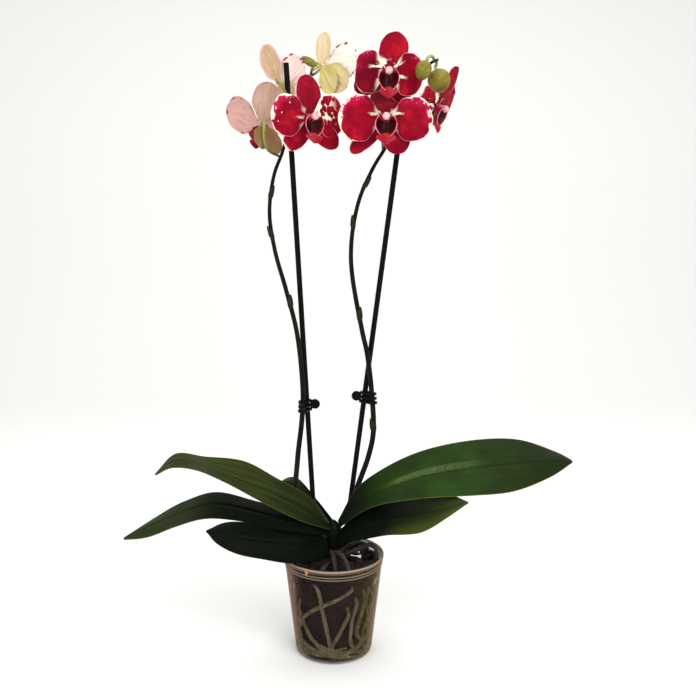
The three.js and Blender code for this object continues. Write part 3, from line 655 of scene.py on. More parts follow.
# Each root leaves the root stock through a place (angle from the front, reach, height), then runs down
# the wall through (angle, height).
WALL_ROOTS = [
    ((-24, 30, 107), [(-26, 104), (-19, 92), (-15, 72), (-10, 48), (-4, 22), (6, 8)]),
    ((30, 34, 96), [(24, 91), (0, 79), (-18, 71), (-34, 61), (-48, 50), (-58, 36)]),
    ((-56, 32, 84), [(-55, 64), (-46, 44), (-34, 29), (-18, 18), (4, 11), (24, 8)]),
    ((-76, 30, 96), [(-76, 86), (-74, 62), (-71, 34), (-60, 14), (-38, 8)]),
    ((36, 30, 90), [(33, 72), (28, 56), (26, 40), (28, 22), (40, 10)]),
    ((14, 30, 76), [(22, 62), (14, 46), (4, 30), (-6, 17)]),
    ((50, 30, 92), [(46, 80), (45, 66), (40, 50), (36, 36), (52, 18)]),
    ((70, 30, 90), [(68, 70), (60, 54), (66, 34), (78, 18)]),
    ((108, 30, 94), [(108, 84), (118, 62), (112, 40), (126, 18), (150, 8)]),
    ((186, 30, 96), [(190, 86), (182, 64), (196, 42), (188, 22), (206, 9)]),
    ((252, 30, 92), [(244, 78), (236, 58), (228, 38), (240, 18), (262, 8)]),
]
# The roots in the air, as (points, radius).
AIR_ROOTS = [
    ([(-1, -7, 119), (0, -17, 116), (2, -24, 108), (3, -27, 94)], 2.6),
    ([(3, -6, 121), (10, -17, 120), (17, -28, 112), (22, -34, 96)], 3.0),
    ([(6, -3, 112), (28, -12, 126), (45, -13, 132), (51, -11, 124), (50, -9, 110), (48, -8, 92)], 2.8),
    ([(-4, -5, 108), (-12, -22, 108), (-15, -32, 103), (-16, -36, 92)], 1.8),
    ([(5, 5, 112), (22, 16, 122), (38, 26, 118), (42, 28, 94)], 2.6),
    ([(-5, 5, 110), (-34, 10, 114), (-44, 8, 108), (-46, 6, 92)], 2.4),
]


def root_reach(z, radius):
    """How far from the axis the middle of a root may lie."""
    return pot_radius(z) - POT_WALL - WALL_PLAY - radius


def inside_wall(radius):
    """Draws a point in where a root of that radius would run into the wall."""
    def settle(centre):
        reach = math.hypot(centre.x, centre.y)
        shrink = min(1, root_reach(centre.z, radius) / max(reach, 1e-6))
        return Vector((centre.x * shrink, centre.y * shrink, centre.z))
    return settle


def root_skin(filling):
    """Spongy skin: grey-green and tan in the pot, darker grey-brown in the air."""
    shader = Shader("root_skin")
    place = shader.place()
    z = shader.axes(place)[2]
    blotch = shader.noise(place, 120, 3)
    grain = shader.noise(place, 420, 3, 0.7)
    green = shader.mix(filling.root_colour, tint(104, 104, 60), blotch.over(0.48, 0.68))
    tan = shader.mix(green, tint(168, 146, 116), blotch.below(0.32, 0.46))
    tan = shader.mix(tan, tint(76, 66, 54), grain.over(0.48, 0.64) * 0.8)
    dry = shader.mix(tint(40, 35, 32), tint(74, 68, 58), grain.over(0.4, 0.7))
    colour = shader.mix(tan, dry, z.over(*ROOT_DRY))
    normal = shader.bump(grain + blotch * 0.6, 0.0006, 0.6)
    return shader.finish(
        base_color=colour, roughness=0.55 + blotch * 0.25, normal=normal, specular_ior_level=0.25)


def bark_skin(filling):
    """Weathered bark: dark brown with redder and greyer pieces."""
    shader = Shader("bark_skin")
    place = shader.place()
    x, y, z = shader.axes(place)
    patch = shader.cells(place, 60)
    pick = shader.axes(shader.cells(place, 60, "Color"))[0]
    fibre = shader.noise(shader.vector(x, y, z * 3), 60, 2, 0.5)
    colour = shader.mix(filling.bark_colour, tint(50, 34, 30), pick.over(0.6, 0.9))
    colour = shader.mix(colour, tint(26, 19, 21), pick.below(0.1, 0.35))
    colour = shader.mix(colour, tint(78, 58, 48), fibre.over(0.6, 0.8) * 0.3)
    normal = shader.bump(fibre + patch * 0.5, 0.001, 0.5)
    return shader.finish(base_color=colour, roughness=0.85, normal=normal, specular_ior_level=0.2)


class ORCHID_OT_bark(bpy.types.Operator):
    """Build the bark that fills the pot, with loose pieces on top and against the wall"""

    bl_idname = "orchid.bark"
    bl_label = "Bark"

    def execute(self, context):
        filling = context.scene.orchid_filling
        mesh = bmesh.new()
        inset = POT_WALL + WALL_PLAY + 2 * filling.root_radius / MM + GAP
        profile = [(0, BARK_FOOT), (38, BARK_FOOT)]
        profile += [(pot_radius(z) - inset - 1, z) for z in BARK_HEIGHTS]
        profile += [(pot_radius(BARK_TOP) - inset - 4, BARK_TOP - 2), (30, BARK_TOP + 1), (0, BARK_TOP + 3)]
        add_turned(mesh, profile, 48)
        for vert in mesh.verts:
            lump = min(noise.noise(vert.co * 0.11) * 2.2, 0.8)
            vert.co += Vector((vert.co.x, vert.co.y, 0)).normalized() * lump
        draw = random.Random(BARK_SEED)
        noise.seed_set(BARK_SEED)
        for i in range(filling.chips):
            self.add_chip(mesh, draw, i, filling)
        facing_out(mesh)
        bed = as_object("bark_bed", mesh, bark_skin(filling), crease=24)
        stand_for(bed, "bark", "bark")
        return {"FINISHED"}

    def add_chip(self, mesh, draw, index, filling):
        """Adds one angular piece: some lie on top, some bank up at the back and the rest line the wall."""
        size = filling.chip_size / MM * draw.uniform(0.55, 1.25)
        top = index % 3 == 0
        banked = index % 5 in (1, 2)
        angle = index * (BANKED_TURN if banked else CHIP_TURN)
        if top:
            z = BARK_TOP + draw.uniform(-3, 3.5)
            reach = (pot_radius(z) - 7) * math.sqrt(draw.uniform(0.06, 1))
            if reach > CHIP_EDGE:
                z += draw.uniform(2, 5)
        elif banked:
            z = BARK_TOP + draw.uniform(0, 13 if BANK[0] < angle % 360 < BANK[1] else 7)
            reach = pot_radius(z) - 5
        else:
            z = draw.uniform(6, BARK_TOP - 2)
            reach = pot_radius(z) - 6.5 - size * 0.3
        tilt = Matrix.Rotation(draw.uniform(-0.5, 0.5), 4, "X") @ Matrix.Rotation(draw.uniform(0, 6), 4, "Z")
        if not top:
            upright = Matrix.Rotation(math.pi / 2, 4, "X")
            tilt = Matrix.Rotation(math.radians(angle), 4, "Z") @ upright @ tilt
        place = Matrix.Translation(around(angle, reach, z)) @ tilt
        place = place @ Matrix.Diagonal((1, draw.uniform(0.5, 0.8), draw.uniform(0.25, 0.42), 1))
        chip = bmesh.ops.create_icosphere(mesh, subdivisions=2, radius=size, matrix=place)["verts"]
        settle = inside_wall(0)
        for vert in chip:
            shake = noise.noise_vector(vert.co * 0.23 + Vector((index, 0, 0))) * size * 0.3
            vert.co = settle(vert.co + shake)
            vert.co.z = max(vert.co.z, CHIP_LOWEST)


class ORCHID_OT_roots(bpy.types.Operator):
    """Build the roots down the pot's wall, the mat of roots at its foot and those in the air"""

    bl_idname = "orchid.roots"
    bl_label = "Roots"

    def execute(self, context):
        filling = context.scene.orchid_filling
        radius = filling.root_radius / MM
        mesh = bmesh.new()
        for index, (start, wall) in enumerate(WALL_ROOTS):
            self.add_wall_root(mesh, start, wall, radius, index)
        for index, (points, thickness) in enumerate(AIR_ROOTS):
            self.add_root(mesh, Path(points), thickness, index + 20, lambda share: 1.1 - 0.25 * share)
        self.add_foot_mat(mesh, radius)
        self.add_rootlets(mesh)
        foot = STOCK[0][0]
        stock = [(0, foot), *((look_up(STOCK, z), z) for z in range(foot, 126, 4)), (0, STOCK_SPLIT)]
        add_turned(mesh, stock, 24)
        facing_out(mesh)
        roots = as_object("root_mass", mesh, root_skin(filling))
        stand_for(roots, "root", "roots")
        return {"FINISHED"}

    def add_root(self, mesh, path, radius, seed, taper, settle=None):
        """Adds a lumpy root that closes in a round tip; taper gives its size along the way."""
        def radius_at(share, turn):
            lump = noise.noise(Vector((share * path.length / 8, math.cos(turn) * 0.5, seed * 7.3)))
            end = math.sqrt(min(1, (1 - share) * path.length / (radius * 1.5)))
            return radius * taper(share) * (1 + 0.3 * lump) * max(end, 0.15)
        add_rod(mesh, path, radius_at, max(12, int(path.length / 3)), 10, settle)

    def add_wall_root(self, mesh, start, wall, radius, seed):
        """Adds a root from the root stock to the wall and down along it."""
        angle, reach, z = start
        first = around(angle, 3, min(z + 4, STOCK_SPLIT - 12))
        points = [first, around(angle, reach, z)]
        points += [around(turn, root_reach(high, radius), high) for turn, high in wall]
        self.add_root(mesh, Path(points), radius, seed, lambda share: 0.7 + 0.3 * smooth(share, 0.15, 0.6),
                      inside_wall(radius))

    def add_foot_mat(self, mesh, radius):
        """Roots that circle the foot of the pot."""
        draw = random.Random(12)
        for i in range(ROOTS_IN_MAT):
            start = i * 360 / ROOTS_IN_MAT + draw.uniform(-12, 12)
            sweep = draw.choice((-1, 1)) * draw.uniform(60, 120)
            low, high = draw.uniform(5, 9), draw.uniform(9, 22)
            size = radius * draw.uniform(0.5, 0.95)
            points = []
            for step in range(6):
                share = step / 5
                z = blend(high, low, share) + 2 * math.sin(share * 5 + i)
                reach = root_reach(z, size) - draw.uniform(0, 2.5)
                points.append(around(start + sweep * share, reach, z))
            self.add_root(mesh, Path(points), size, 40 + i, lambda share: 1 - 0.2 * share, inside_wall(size))

    def add_rootlets(self, mesh):
        """Fine roots that run down both flanks of the wall."""
        draw = random.Random(5)
        for i in range(ROOTLETS):
            flank = draw.choice(ROOTLET_FLANKS) + draw.uniform(-9, 9)
            high = draw.uniform(46, 92)
            size = draw.uniform(0.7, 1.5)
            points = []
            for step in range(6):
                share = step / 5
                z = blend(high, draw.uniform(8, 14), share)
                turn = flank + 8 * math.sin(share * 4 + i) + draw.uniform(-2, 2)
                points.append(around(turn, root_reach(z, size) - draw.uniform(0, 1), z))
            self.add_root(mesh, Path(points), size, 70 + i, lambda share: 1 - 0.3 * share, inside_wall(size))


# ---------------------------------------------------------------- crown and leaves


LEAF_SEAT = 0.85                   # from the stem's surface to the middle of a leaf's foot
GROOVE_WIDTH = 0.07                # as a share of half the leaf's width
WAVE_HEIGHT = 0.012                # how far an edge waves up and down, as a share of half the width
WAVE_LENGTH = 13


def on_stem(angle, z):
    """A point just off the stem's surface, where a leaf's foot sits."""
    return around(angle, look_up(STOCK, z) + LEAF_SEAT, z)


# far, rib and near are the far edge, midrib and near edge as the front view sees them. In a leaf's
# look, shade gives the shares of the length where the painted shade near the crown ends and where the
# leaf is in full colour. olive is how yellow the green is, gloss how strong the painted light on
# the leaf's middle, its darker outer half and the speckled painted highlight beside the midrib are, streaky
# how strong the brown bands are and near_glow how yellow the near half is.
LEAVES = {
    "leaf_1": {
        "far": [on_stem(110, 156), (27, 3, 195), (56, 14, 215), (105, 28, 234), (167, 34, 247),
                (227, 30, 248), (266, 14, 238), (281, -3, 232)],
        "rib": [on_stem(70, 154), (31, -10, 183), (54, -11, 196), (98, -8, 212), (160, -6, 223),
                (218, -6, 229), (260, -6, 231), (281, -5, 231)],
        "near": [on_stem(25, 149), (31, -22, 174), (52, -31, 186), (95, -40, 197), (156, -46, 202),
                 (208, -39, 206), (252, -22, 217), (281, -7, 230)],
        "look": {"shade": (0.0, 0.5), "olive": 0.2, "streaky": 0.3, "gloss": 1.0},
    },
    "leaf_2": {
        "far": [on_stem(-110, 155), (-26, 1, 184), (-66, 2, 208), (-106, 6, 228), (-154, 10, 233),
                (-190, 14, 235), (-214, 11, 212)],
        "rib": [on_stem(-65, 154), (-27, -12, 174), (-62, -16, 193), (-109, -14, 211), (-150, -10, 227),
                (-186, -2, 230), (-214, 10, 211)],
        "near": [on_stem(-25, 149), (-38, -26, 166), (-81, -38, 192), (-123, -36, 215), (-156, -28, 226),
                 (-188, -12, 225), (-213, 8, 210)],
        "look": {"shade": (-0.2, 0.6), "olive": 0.9, "streaky": 0.9},
    },
    "leaf_3": {
        "far": [on_stem(72, 149), (38, -3, 175), (77, -8, 186), (111, -17, 195), (137, -36, 199),
                (151, -57, 199)],
        "rib": [on_stem(40, 140), (43, -26, 159), (76, -38, 174), (109, -50, 185), (135, -56, 193),
                (151, -58, 198)],
        "near": [on_stem(12, 132), (31, -34, 146), (59, -52, 158), (97, -70, 168), (126, -72, 186),
                 (150, -60, 198)],
        "look": {"shade": (0.25, 1.1), "olive": 0.9, "streaky": 0.4, "near_glow": 0.5},
    },
    "leaf_4": {
        "far": [on_stem(-82, 150), (-40, -6, 168), (-93, -4, 183), (-141, 0, 192), (-178, 4, 180),
                (-216, 6, 158), (-252, 3, 135)],
        "rib": [on_stem(-58, 147), (-43, -22, 160), (-94, -24, 177), (-141, -22, 184), (-178, -16, 172),
                (-216, -10, 154), (-252, 2, 134)],
        "near": [on_stem(-30, 142), (-52, -34, 157), (-100, -44, 171), (-142, -44, 175),
                 (-180, -38, 163), (-219, -22, 144), (-251, 0, 133)],
        "look": {"shade": (0.38, 0.8), "olive": 0.45, "streaky": 0.5},
    },
    "leaf_5": {
        "far": [on_stem(-52, 139), (-39, -18, 153), (-71, -26, 160), (-100, -30, 166), (-124, -38, 168),
                (-143, -49, 163)],
        "rib": [on_stem(-34, 128), (-40, -36, 142), (-73, -50, 151), (-102, -56, 158), (-126, -56, 164),
                (-143, -50, 162)],
        "near": [on_stem(-14, 116), (-42, -54, 126), (-75, -72, 138), (-105, -78, 147), (-128, -70, 156),
                 (-142, -52, 162)],
        "look": {"shade": (0.4, 2.6), "olive": 0.2, "streaky": 0.3},
    },
    "leaf_6": {
        "far": [on_stem(-160, 148), (-22, 32, 156), (-46, 38, 166), (-66, 45, 172), (-81, 58, 169),
                (-88, 82, 165)],
        "rib": [on_stem(178, 148), (-16, 37, 161), (-38, 48, 175), (-56, 60, 184), (-71, 73, 180),
                (-87, 84, 165)],
        "near": [on_stem(156, 148), (-28, 44, 176), (-38, 56, 185), (-49, 70, 189), (-63, 82, 185),
                 (-85, 86, 164)],
        "look": {"shade": (0.0, 1.2), "olive": 0.4, "streaky": 0.3},
    },
}


def leaf_skin(foliage, name, shade, olive, streaky=0.0, gloss=0.0, near_glow=0.0):
    """Waxy leaf: fine lengthwise veins, a dark midrib line, a paler edge, painted shade towards the crown,
    and painted light with a speckled painted highlight beside the midrib.
    """
    shader = Shader(f"{name}_skin")
    across = shader.attribute("across")
    along = shader.attribute("along")
    inset = shader.attribute("inset")
    side = shader.attribute("side")
    place = shader.place()
    streaks = shader.noise(shader.vector(across * 46, along * 3.2), 1, 3, 0.6)
    veins = shader.noise(shader.vector(across * 120, along * 1.2), 1, 2, 0.4)
    cloud = shader.noise(place, 26, 3)
    dust_and_glint = shader.noise(place, 900, 2, 0.7)
    green = shader.mix(foliage.green, tint(72, 78, 28), (streaks * olive * 1.4).least(1))
    green = shader.mix(green, tint(34, 68, 8), cloud.over(0.5, 0.7) * 0.4)
    bands = shader.noise(shader.vector(across * 9, along * 2.6), 1, 3, 0.6)
    green = shader.mix(green, tint(30, 34, 16), bands.over(0.45, 0.62) * streaky)
    # Painted light: a brighter green on the middle of the leaf, and painted shade as darker mottling past it
    # on the outer half.
    middle = along.over(0.12, 0.3) * along.below(0.5, 0.8)
    green = shader.mix(green, tint(38, 74, 8), middle * gloss * cloud.over(0.15, 0.7) * 0.65)
    outer = along.over(0.5, 0.8) * (cloud + bands).over(0.8, 1.1) * gloss
    green = shader.mix(green, tint(30, 36, 12), outer * 0.7)
    # Painted shade: the leaf goes from the shaded deep green near the crown to its full colour, over the
    # share of its length that its shade span gives.
    light = along.over(*shade) * (0.55 + cloud * 0.6)
    colour = shader.mix(foliage.shaded_green, green, light.least(1))
    colour = shader.mix(colour, tint(16, 32, 10), veins.over(0.45, 0.7) * 0.45)
    colour = shader.mix(colour, tint(6, 16, 5), abs(across).below(0.004, 0.022) * 0.9)
    # Painted highlight: pale speckles in a band just beside the midrib.
    painted_glint = abs(across - 0.14).below(0.05, 0.16)
    painted_glint = painted_glint * along.over(0.28, 0.38) * along.below(0.48, 0.66) * dust_and_glint.over(0.42, 0.62) * gloss
    colour = shader.mix(colour, tint(118, 138, 84), painted_glint * 0.6)
    lit = across.below(-1, -0.1) * along.over(0.3, 0.6) * near_glow
    colour = shader.mix(colour, tint(76, 92, 28), lit)
    edge = inset.below(0.3, 1.5) * along.over(shade[0] - 0.1, shade[1]) * 0.75
    colour = shader.mix(colour, foliage.margin, edge)
    under = shader.mix(colour, tint(46, 62, 32), 0.5)
    colour = shader.mix(under, colour, side.over(0.4, 0.6))
    roughness = 0.3 + streaks * 0.14 + dust_and_glint.over(0.5, 0.8) * 0.25
    height = streaks * 0.5 + veins * 0.35 + dust_and_glint * 0.06
    normal = shader.bump(height, 0.0009, 0.55)
    return shader.finish(base_color=colour, roughness=roughness, normal=normal, specular_ior_level=0.05)


def leaf_surface(curves, groove, reach):
    """The middle of a leaf's thickness; groove is the channel's depth and reach the leaf's length."""
    far, rib, near = curves

    def surface(s, t):
        place = min(max(t, 0), 1)
        middle, a, b = rib.at(place), far.at(place), near.at(place)
        lift = (a + b) / 2 - middle
        half = (a - b) / 2
        point = middle + half * s + lift * abs(s) ** 1.6
        down = rib_normal(rib, half, place)
        fade = smooth(t, 0.02, 0.15) * (1 - smooth(t, 0.85, 1))
        channel = groove * fade * math.exp(-(s / GROOVE_WIDTH) ** 2)
        wave = math.sin(t * reach / WAVE_LENGTH + 1.5 * s) * s * s
        ripple = WAVE_HEIGHT * half.length * wave * fade
        return point + down * (channel + ripple)
    return surface


def rib_normal(rib, half, place):
    """The direction off a leaf's lower face."""
    ahead = rib.at(min(place + 0.01, 1)) - rib.at(max(place - 0.01, 0))
    normal = ahead.cross(half)
    if normal.z > 0:
        normal.negate()
    return normal.normalized()


def add_leaf(mesh, leaf, foliage):
    """Adds one blade, thickest at its midrib, with its face upwards."""
    curves = [Path(leaf[key]) for key in ("far", "rib", "near")]
    far, rib, near = curves
    length = rib.length
    surface = leaf_surface(curves, foliage.groove / MM, length)

    def half_width(t):
        return (far.at(t) - near.at(t)).length / 2

    def thickness_at(s, t):
        body = blend(foliage.rib / MM, foliage.edge / MM, abs(s) ** 1.3)
        return body * (1 - 0.45 * smooth(abs(s), 0.93, 1)) * (1 - 0.4 * smooth(t, 0.97, 1))

    marks = {
        "across": lambda s, t: s,
        "along": lambda s, t: t,
        "inset": lambda s, t: min((1 - abs(s)) * half_width(t), (1 - t) * length),
    }
    ahead = surface(0, 0.5 + 0.02) - surface(0, 0.5)
    upward = (surface(0.1, 0.5) - surface(0, 0.5)).cross(ahead).z > 0
    add_sheet(mesh, 30, max(40, int(length / 3.2)), surface, thickness_at, marks, flip=not upward)


class ORCHID_OT_leaves(bpy.types.Operator):
    """Build the leaves as thick waxy blades with a channelled midrib"""

    bl_idname = "orchid.leaves"
    bl_label = "Leaves"

    def execute(self, context):
        foliage = context.scene.orchid_foliage
        for name, leaf in LEAVES.items():
            mesh = bmesh.new()
            add_leaf(mesh, leaf, foliage)
            skin = leaf_skin(foliage, name, **leaf["look"])
            blade = as_object(f"{name}_blade", mesh, skin, crease=60)
            stand_for(blade, "leaf_green", name)
        return {"FINISHED"}


class ORCHID_OT_crown(bpy.types.Operator):
    """Build the short stem with the overlapping edges of old leaf bases"""

    bl_idname = "orchid.crown"
    bl_label = "Crown"

    def execute(self, context):
        foliage = context.scene.orchid_foliage
        mesh = bmesh.new()
        low = STOCK_SPLIT + GAP
        profile = [(0, low)]
        for step in range(CROWN_STEPS + 1):
            z = blend(low, CROWN_TOP, step / CROWN_STEPS)
            sheath = SHEATH_EDGE * ((z - low) / SHEATH_HEIGHT % 1)
            profile.append((max(look_up(STOCK, z) - SHEATH_EDGE + sheath, 0.6), z))
        profile.append((0, CROWN_TOP))
        add_turned(mesh, profile, 40)
        for name, layer in mark_layers(mesh, ("across", "along", "inset", "side")).items():
            for vert in mesh.verts:
                vert[layer] = {"along": (vert.co.z - low) / 50, "side": 1, "inset": 9}.get(name, 0.5)
        facing_out(mesh)
        # Painted shade: a shade span past the whole stem paints the crown all in the shaded deep green.
        crown = as_object("crown_stem", mesh, leaf_skin(foliage, "crown", (2, 4), 0.5))
        stand_for(crown, "leaf_green", "crown")
        return {"FINISHED"}


# ---------------------------------------------------------------- stakes, spikes and clips

# Each stake's foot and top.
STAKES = {
    "stake_left": ((-16.8, 26.1, 10), (-52.6, 10, 686.7)),
    "stake_right": ((-1.1, 27.1, 10), (74.5, 9.8, 596)),
}
# path is the stem's middle, nodes the shares of its length where it swells, and stalks the first points
# of each flower stalk, which ends at its bloom or bud.
SPIKES = {
    "spike_left": {
        "path": [
            (-12.7, 6.8, 131), (-23, 11, 140), (-36, 12, 162), (-45, 10, 184), (-43, 8, 230),
            (-37.7, 8, 276), (-36, 8, 309), (-42.5, 8, 381), (-54.9, 8, 432), (-67.2, 8, 477),
            (-73, 8, 520), (-67.5, 8, 562), (-57.5, 7, 588), (-51, 3, 607), (-42, -1, 628),
            (-34, -2, 646), (-28, 1, 661), (-23, 4, 674),
        ],
        "nodes": (0.3, 0.52, 0.665, 0.745),
        "stalks": {
            "bloom_5": [(-60, 8, 583), (-75, 15, 592), (-80, 21, 607)],
            "bloom_4": [(-46, 1, 619), (-42, -8, 621), (-34, -20, 619)],
            "bloom_6": [(-43, -1, 627), (-47, -1, 641), (-54, 2, 655), (-61, 14, 668), (-66, 34, 675),
                        (-67, 50, 677)],
            "bloom_7": [(-26, 2, 667), (-23, 12, 681), (-19, 25, 690)],
            "bud_1": [(-24.5, 3, 671), (-18, 3.5, 675)],
        },
    },
    "spike_right": {
        "path": [
            (13, 7.7, 134), (18, 9, 150), (24, 9, 172), (27, 8, 191), (41.4, 8, 233), (47.2, 8, 262),
            (45.6, 8, 306), (39.5, 7, 358), (33.9, 7, 383), (20.6, 8, 469), (28.6, 8, 530),
            (46, 8, 571), (60, 6, 594), (70, 5, 619), (80, 4, 642), (90, 1, 659), (100, -7, 672),
            (108, -18, 680), (114, -26, 681),
        ],
        "nodes": (0.235, 0.46, 0.64, 0.72),
        "stalks": {
            "bloom_1": [(57, 7, 589), (56, -3, 603), (57, -18, 614)],
            "bloom_2": [(87, 2, 654), (80, -5, 664), (70, -17, 668)],
            "bloom_3": [(74, 5, 628), (86, 19, 635), (100, 38, 645)],
            "bud_2": [(111, -22, 681), (107, -36, 682)],
            "bud_3": [(112, -26, 681), (113, -25, 677)],
        },
    },
}
NODE_REACH = 3.5                   # how far from its middle a node's swelling fades
BRACT_LENGTH = 13.0
BRACT_PROUD = 0.8
BRACT_WRAP = 108                   # degrees to each side of a bract's middle
STALK_LEAD = 4.0                   # the straight last stretch of a flower stalk
# z is a clip's height, and handle the side of its ring: 1 for the right and -1 for the left.
CLIPS = {
    "clip_left": {"spike": "spike_left", "stake": "stake_left", "z": 294, "handle": 1},
    "clip_right": {"spike": "spike_right", "stake": "stake_right", "z": 304, "handle": -1},
}
STRAIGHT_SHARE = 0.6               # the lower share of a stem, which only rises
BAND_HEIGHT = 2.8
BAND_PITCH = 5.3
CLIP_PLAY = 1.0
CLIP_WALL = 1.5
CLIP_CORNERS = 0.45                # the lower, the squarer a band's section is
RING_RADIUS = 4.2
RING_WIRE = 1.8                    # radius of the ring's wire
RING_WEB = 1.2                     # the thin disc that closes the ring


def spike_skin(stems):
    """Dark stem skin, olive to near black, with fine pale flecks."""
    shader = Shader("spike_skin")
    place = shader.place()
    x, y, z = shader.axes(place)
    cloud = shader.noise(shader.vector(x, y, z * 0.3), 60, 3)
    flecks = shader.noise(shader.vector(x, y, z * 0.4), 900, 2, 0.6)
    ring = shader.attribute("ring")
    colour = shader.mix(stems.spike_colour, tint(26, 27, 13), cloud.over(0.45, 0.7))
    colour = shader.mix(colour, tint(16, 10, 12), cloud.below(0.3, 0.45) * 0.8)
    colour = shader.mix(colour, tint(60, 58, 36), flecks.over(0.66, 0.8) * 0.5)
    colour = shader.mix(colour, tint(60, 56, 34), ring * 0.5)
    normal = shader.bump(flecks * 0.4 + cloud, 0.0004, 0.5)
    return shader.finish(
        base_color=colour, roughness=0.38 + cloud * 0.2, normal=normal, specular_ior_level=0.08)


def stalk_skin(stems):
    """Flower stalk: olive at the spike, paler and yellower towards the bloom."""
    shader = Shader("stalk_skin")
    share = shader.attribute("share")
    place = shader.place()
    streak = shader.noise(place, 240, 3)
    colour = shader.mix(stems.spike_colour, stems.stalk_colour, share.over(0.05, 0.5))
    colour = shader.mix(colour, tint(186, 178, 120), share.over(0.5, 1) * 0.6)
    colour = shader.mix(colour, tint(110, 60, 40), streak.over(0.55, 0.75) * 0.4)
    normal = shader.bump(streak, 0.0004, 0.4)
    return shader.finish(base_color=colour, roughness=0.45, normal=normal)


def black_plastic(stems, name, roughness):
    """Black plastic with fine drawn lines along it and a few scratches."""
    shader = Shader(name)
    place = shader.place()
    x, y, z = shader.axes(place)
    drawn = shader.noise(shader.vector(x * 3, y * 3, z * 0.12), 420, 3, 0.6)
    scratch = shader.noise(shader.vector(x, y, z * 0.5), 160, 5, 0.75)
    colour = shader.mix(stems.stake_colour, tint(34, 34, 36), scratch.over(0.62, 0.75) * 0.35)
    normal = shader.bump(drawn * 0.6 + scratch * 0.3, 0.0003, 0.4)
    return shader.finish(
        base_color=colour, roughness=roughness + drawn * 0.2, normal=normal, specular_ior_level=0.08)


def stalk_ends(name):
    """The last two points of a stalk, which meets its bloom or bud squarely from behind."""
    if name in BLOOMS:
        bloom = BLOOMS[name]
        axis = Vector(bloom["face"]).normalized()
        back = GAP + HUB_DEPTH / 2 * bloom["size"]
        centre = Vector(bloom["centre"])
    else:
        bud = BUDS[name]
        axis = Vector(bud["towards"]).normalized()
        back = GAP + bud["length"] / 2
        centre = Vector(bud["centre"])
    return [centre - axis * (back + STALK_LEAD), centre - axis * back]


class ORCHID_OT_spikes(bpy.types.Operator):
    """Build the flower spikes with their nodes, bracts and flower stalks"""

    bl_idname = "orchid.spikes"
    bl_label = "Flower spikes"

    def execute(self, context):
        stems = context.scene.orchid_stems
        skin, stalk = spike_skin(stems), stalk_skin(stems)
        for name, spike in SPIKES.items():
            mesh = bmesh.new()
            self.add_spike(mesh, spike, stems)
            facing_out(mesh)
            stand_for(as_object(f"{name}_stem", mesh, skin), "spike_dark", name)
            mesh = bmesh.new()
            for target, points in spike["stalks"].items():
                path = Path([*points, *stalk_ends(target)])
                radius = stems.stalk / MM
                add_rod(mesh, path, lambda share, turn: radius * (0.92 + 0.3 * share), 30, 12,
                        marks={"share": lambda share: share})
            facing_out(mesh)
            stand_for(as_object(f"{name}_stalks", mesh, stalk), "spike_dark", name)
        return {"FINISHED"}

    def add_spike(self, mesh, spike, stems):
        """Adds a tapering stem that swells at its nodes, with a bract at each."""
        path = Path(spike["path"])
        foot, tip = stems.spike_foot / MM, stems.spike_tip / MM

        def nearness(share):
            return max(math.exp(-((share - node) * path.length / NODE_REACH) ** 2) for node in spike["nodes"])

        def radius_at(share, turn):
            return blend(foot, tip, share ** 1.6) * (1 + 0.16 * nearness(share))

        add_rod(mesh, path, radius_at, 260, 16, marks={"ring": nearness})
        for index, node in enumerate(spike["nodes"]):
            self.add_bract(mesh, path, node, index, radius_at(node, 0))

    def add_bract(self, mesh, path, node, index, radius):
        """Adds a pointed scale that wraps half of the stem above a node."""
        ahead = path.heading(node)
        out = Vector((1 if index % 2 else -1, -0.6, 0)).normalized()
        out = (out - ahead * out.dot(ahead)).normalized()
        side = ahead.cross(out)
        foot = path.along(node)

        def surface(s, t):
            turn = s * math.radians(BRACT_WRAP) * (1 - 0.85 * t ** 1.5)
            reach = radius + 0.5 + BRACT_PROUD * math.sin(t * 2.4)
            ring = out * math.cos(turn) + side * math.sin(turn)
            return foot + ahead * (t * BRACT_LENGTH - 1) + ring * reach

        add_sheet(mesh, 10, 12, surface, lambda s, t: 0.5 - 0.25 * t, {"ring": lambda s, t: 0.6 + 0.4 * t})


class ORCHID_OT_stakes(bpy.types.Operator):
    """Build the two stakes, cut flat at the top"""

    bl_idname = "orchid.stakes"
    bl_label = "Stakes"

    def execute(self, context):
        stems = context.scene.orchid_stems
        plastic = black_plastic(stems, "stake_plastic", 0.3)
        radius = stems.stake / MM
        for name, (foot, top) in STAKES.items():
            mesh = bmesh.new()
            path = Path([foot, top])
            edge = 0.5 / path.length
            add_rod(mesh, path, lambda share, turn: radius * (0.9 if min(share, 1 - share) < edge else 1),
                    800, 24)
            facing_out(mesh)
            stand_for(as_object(f"{name}_rod", mesh, plastic, crease=30), "stake_black", name)
        return {"FINISHED"}


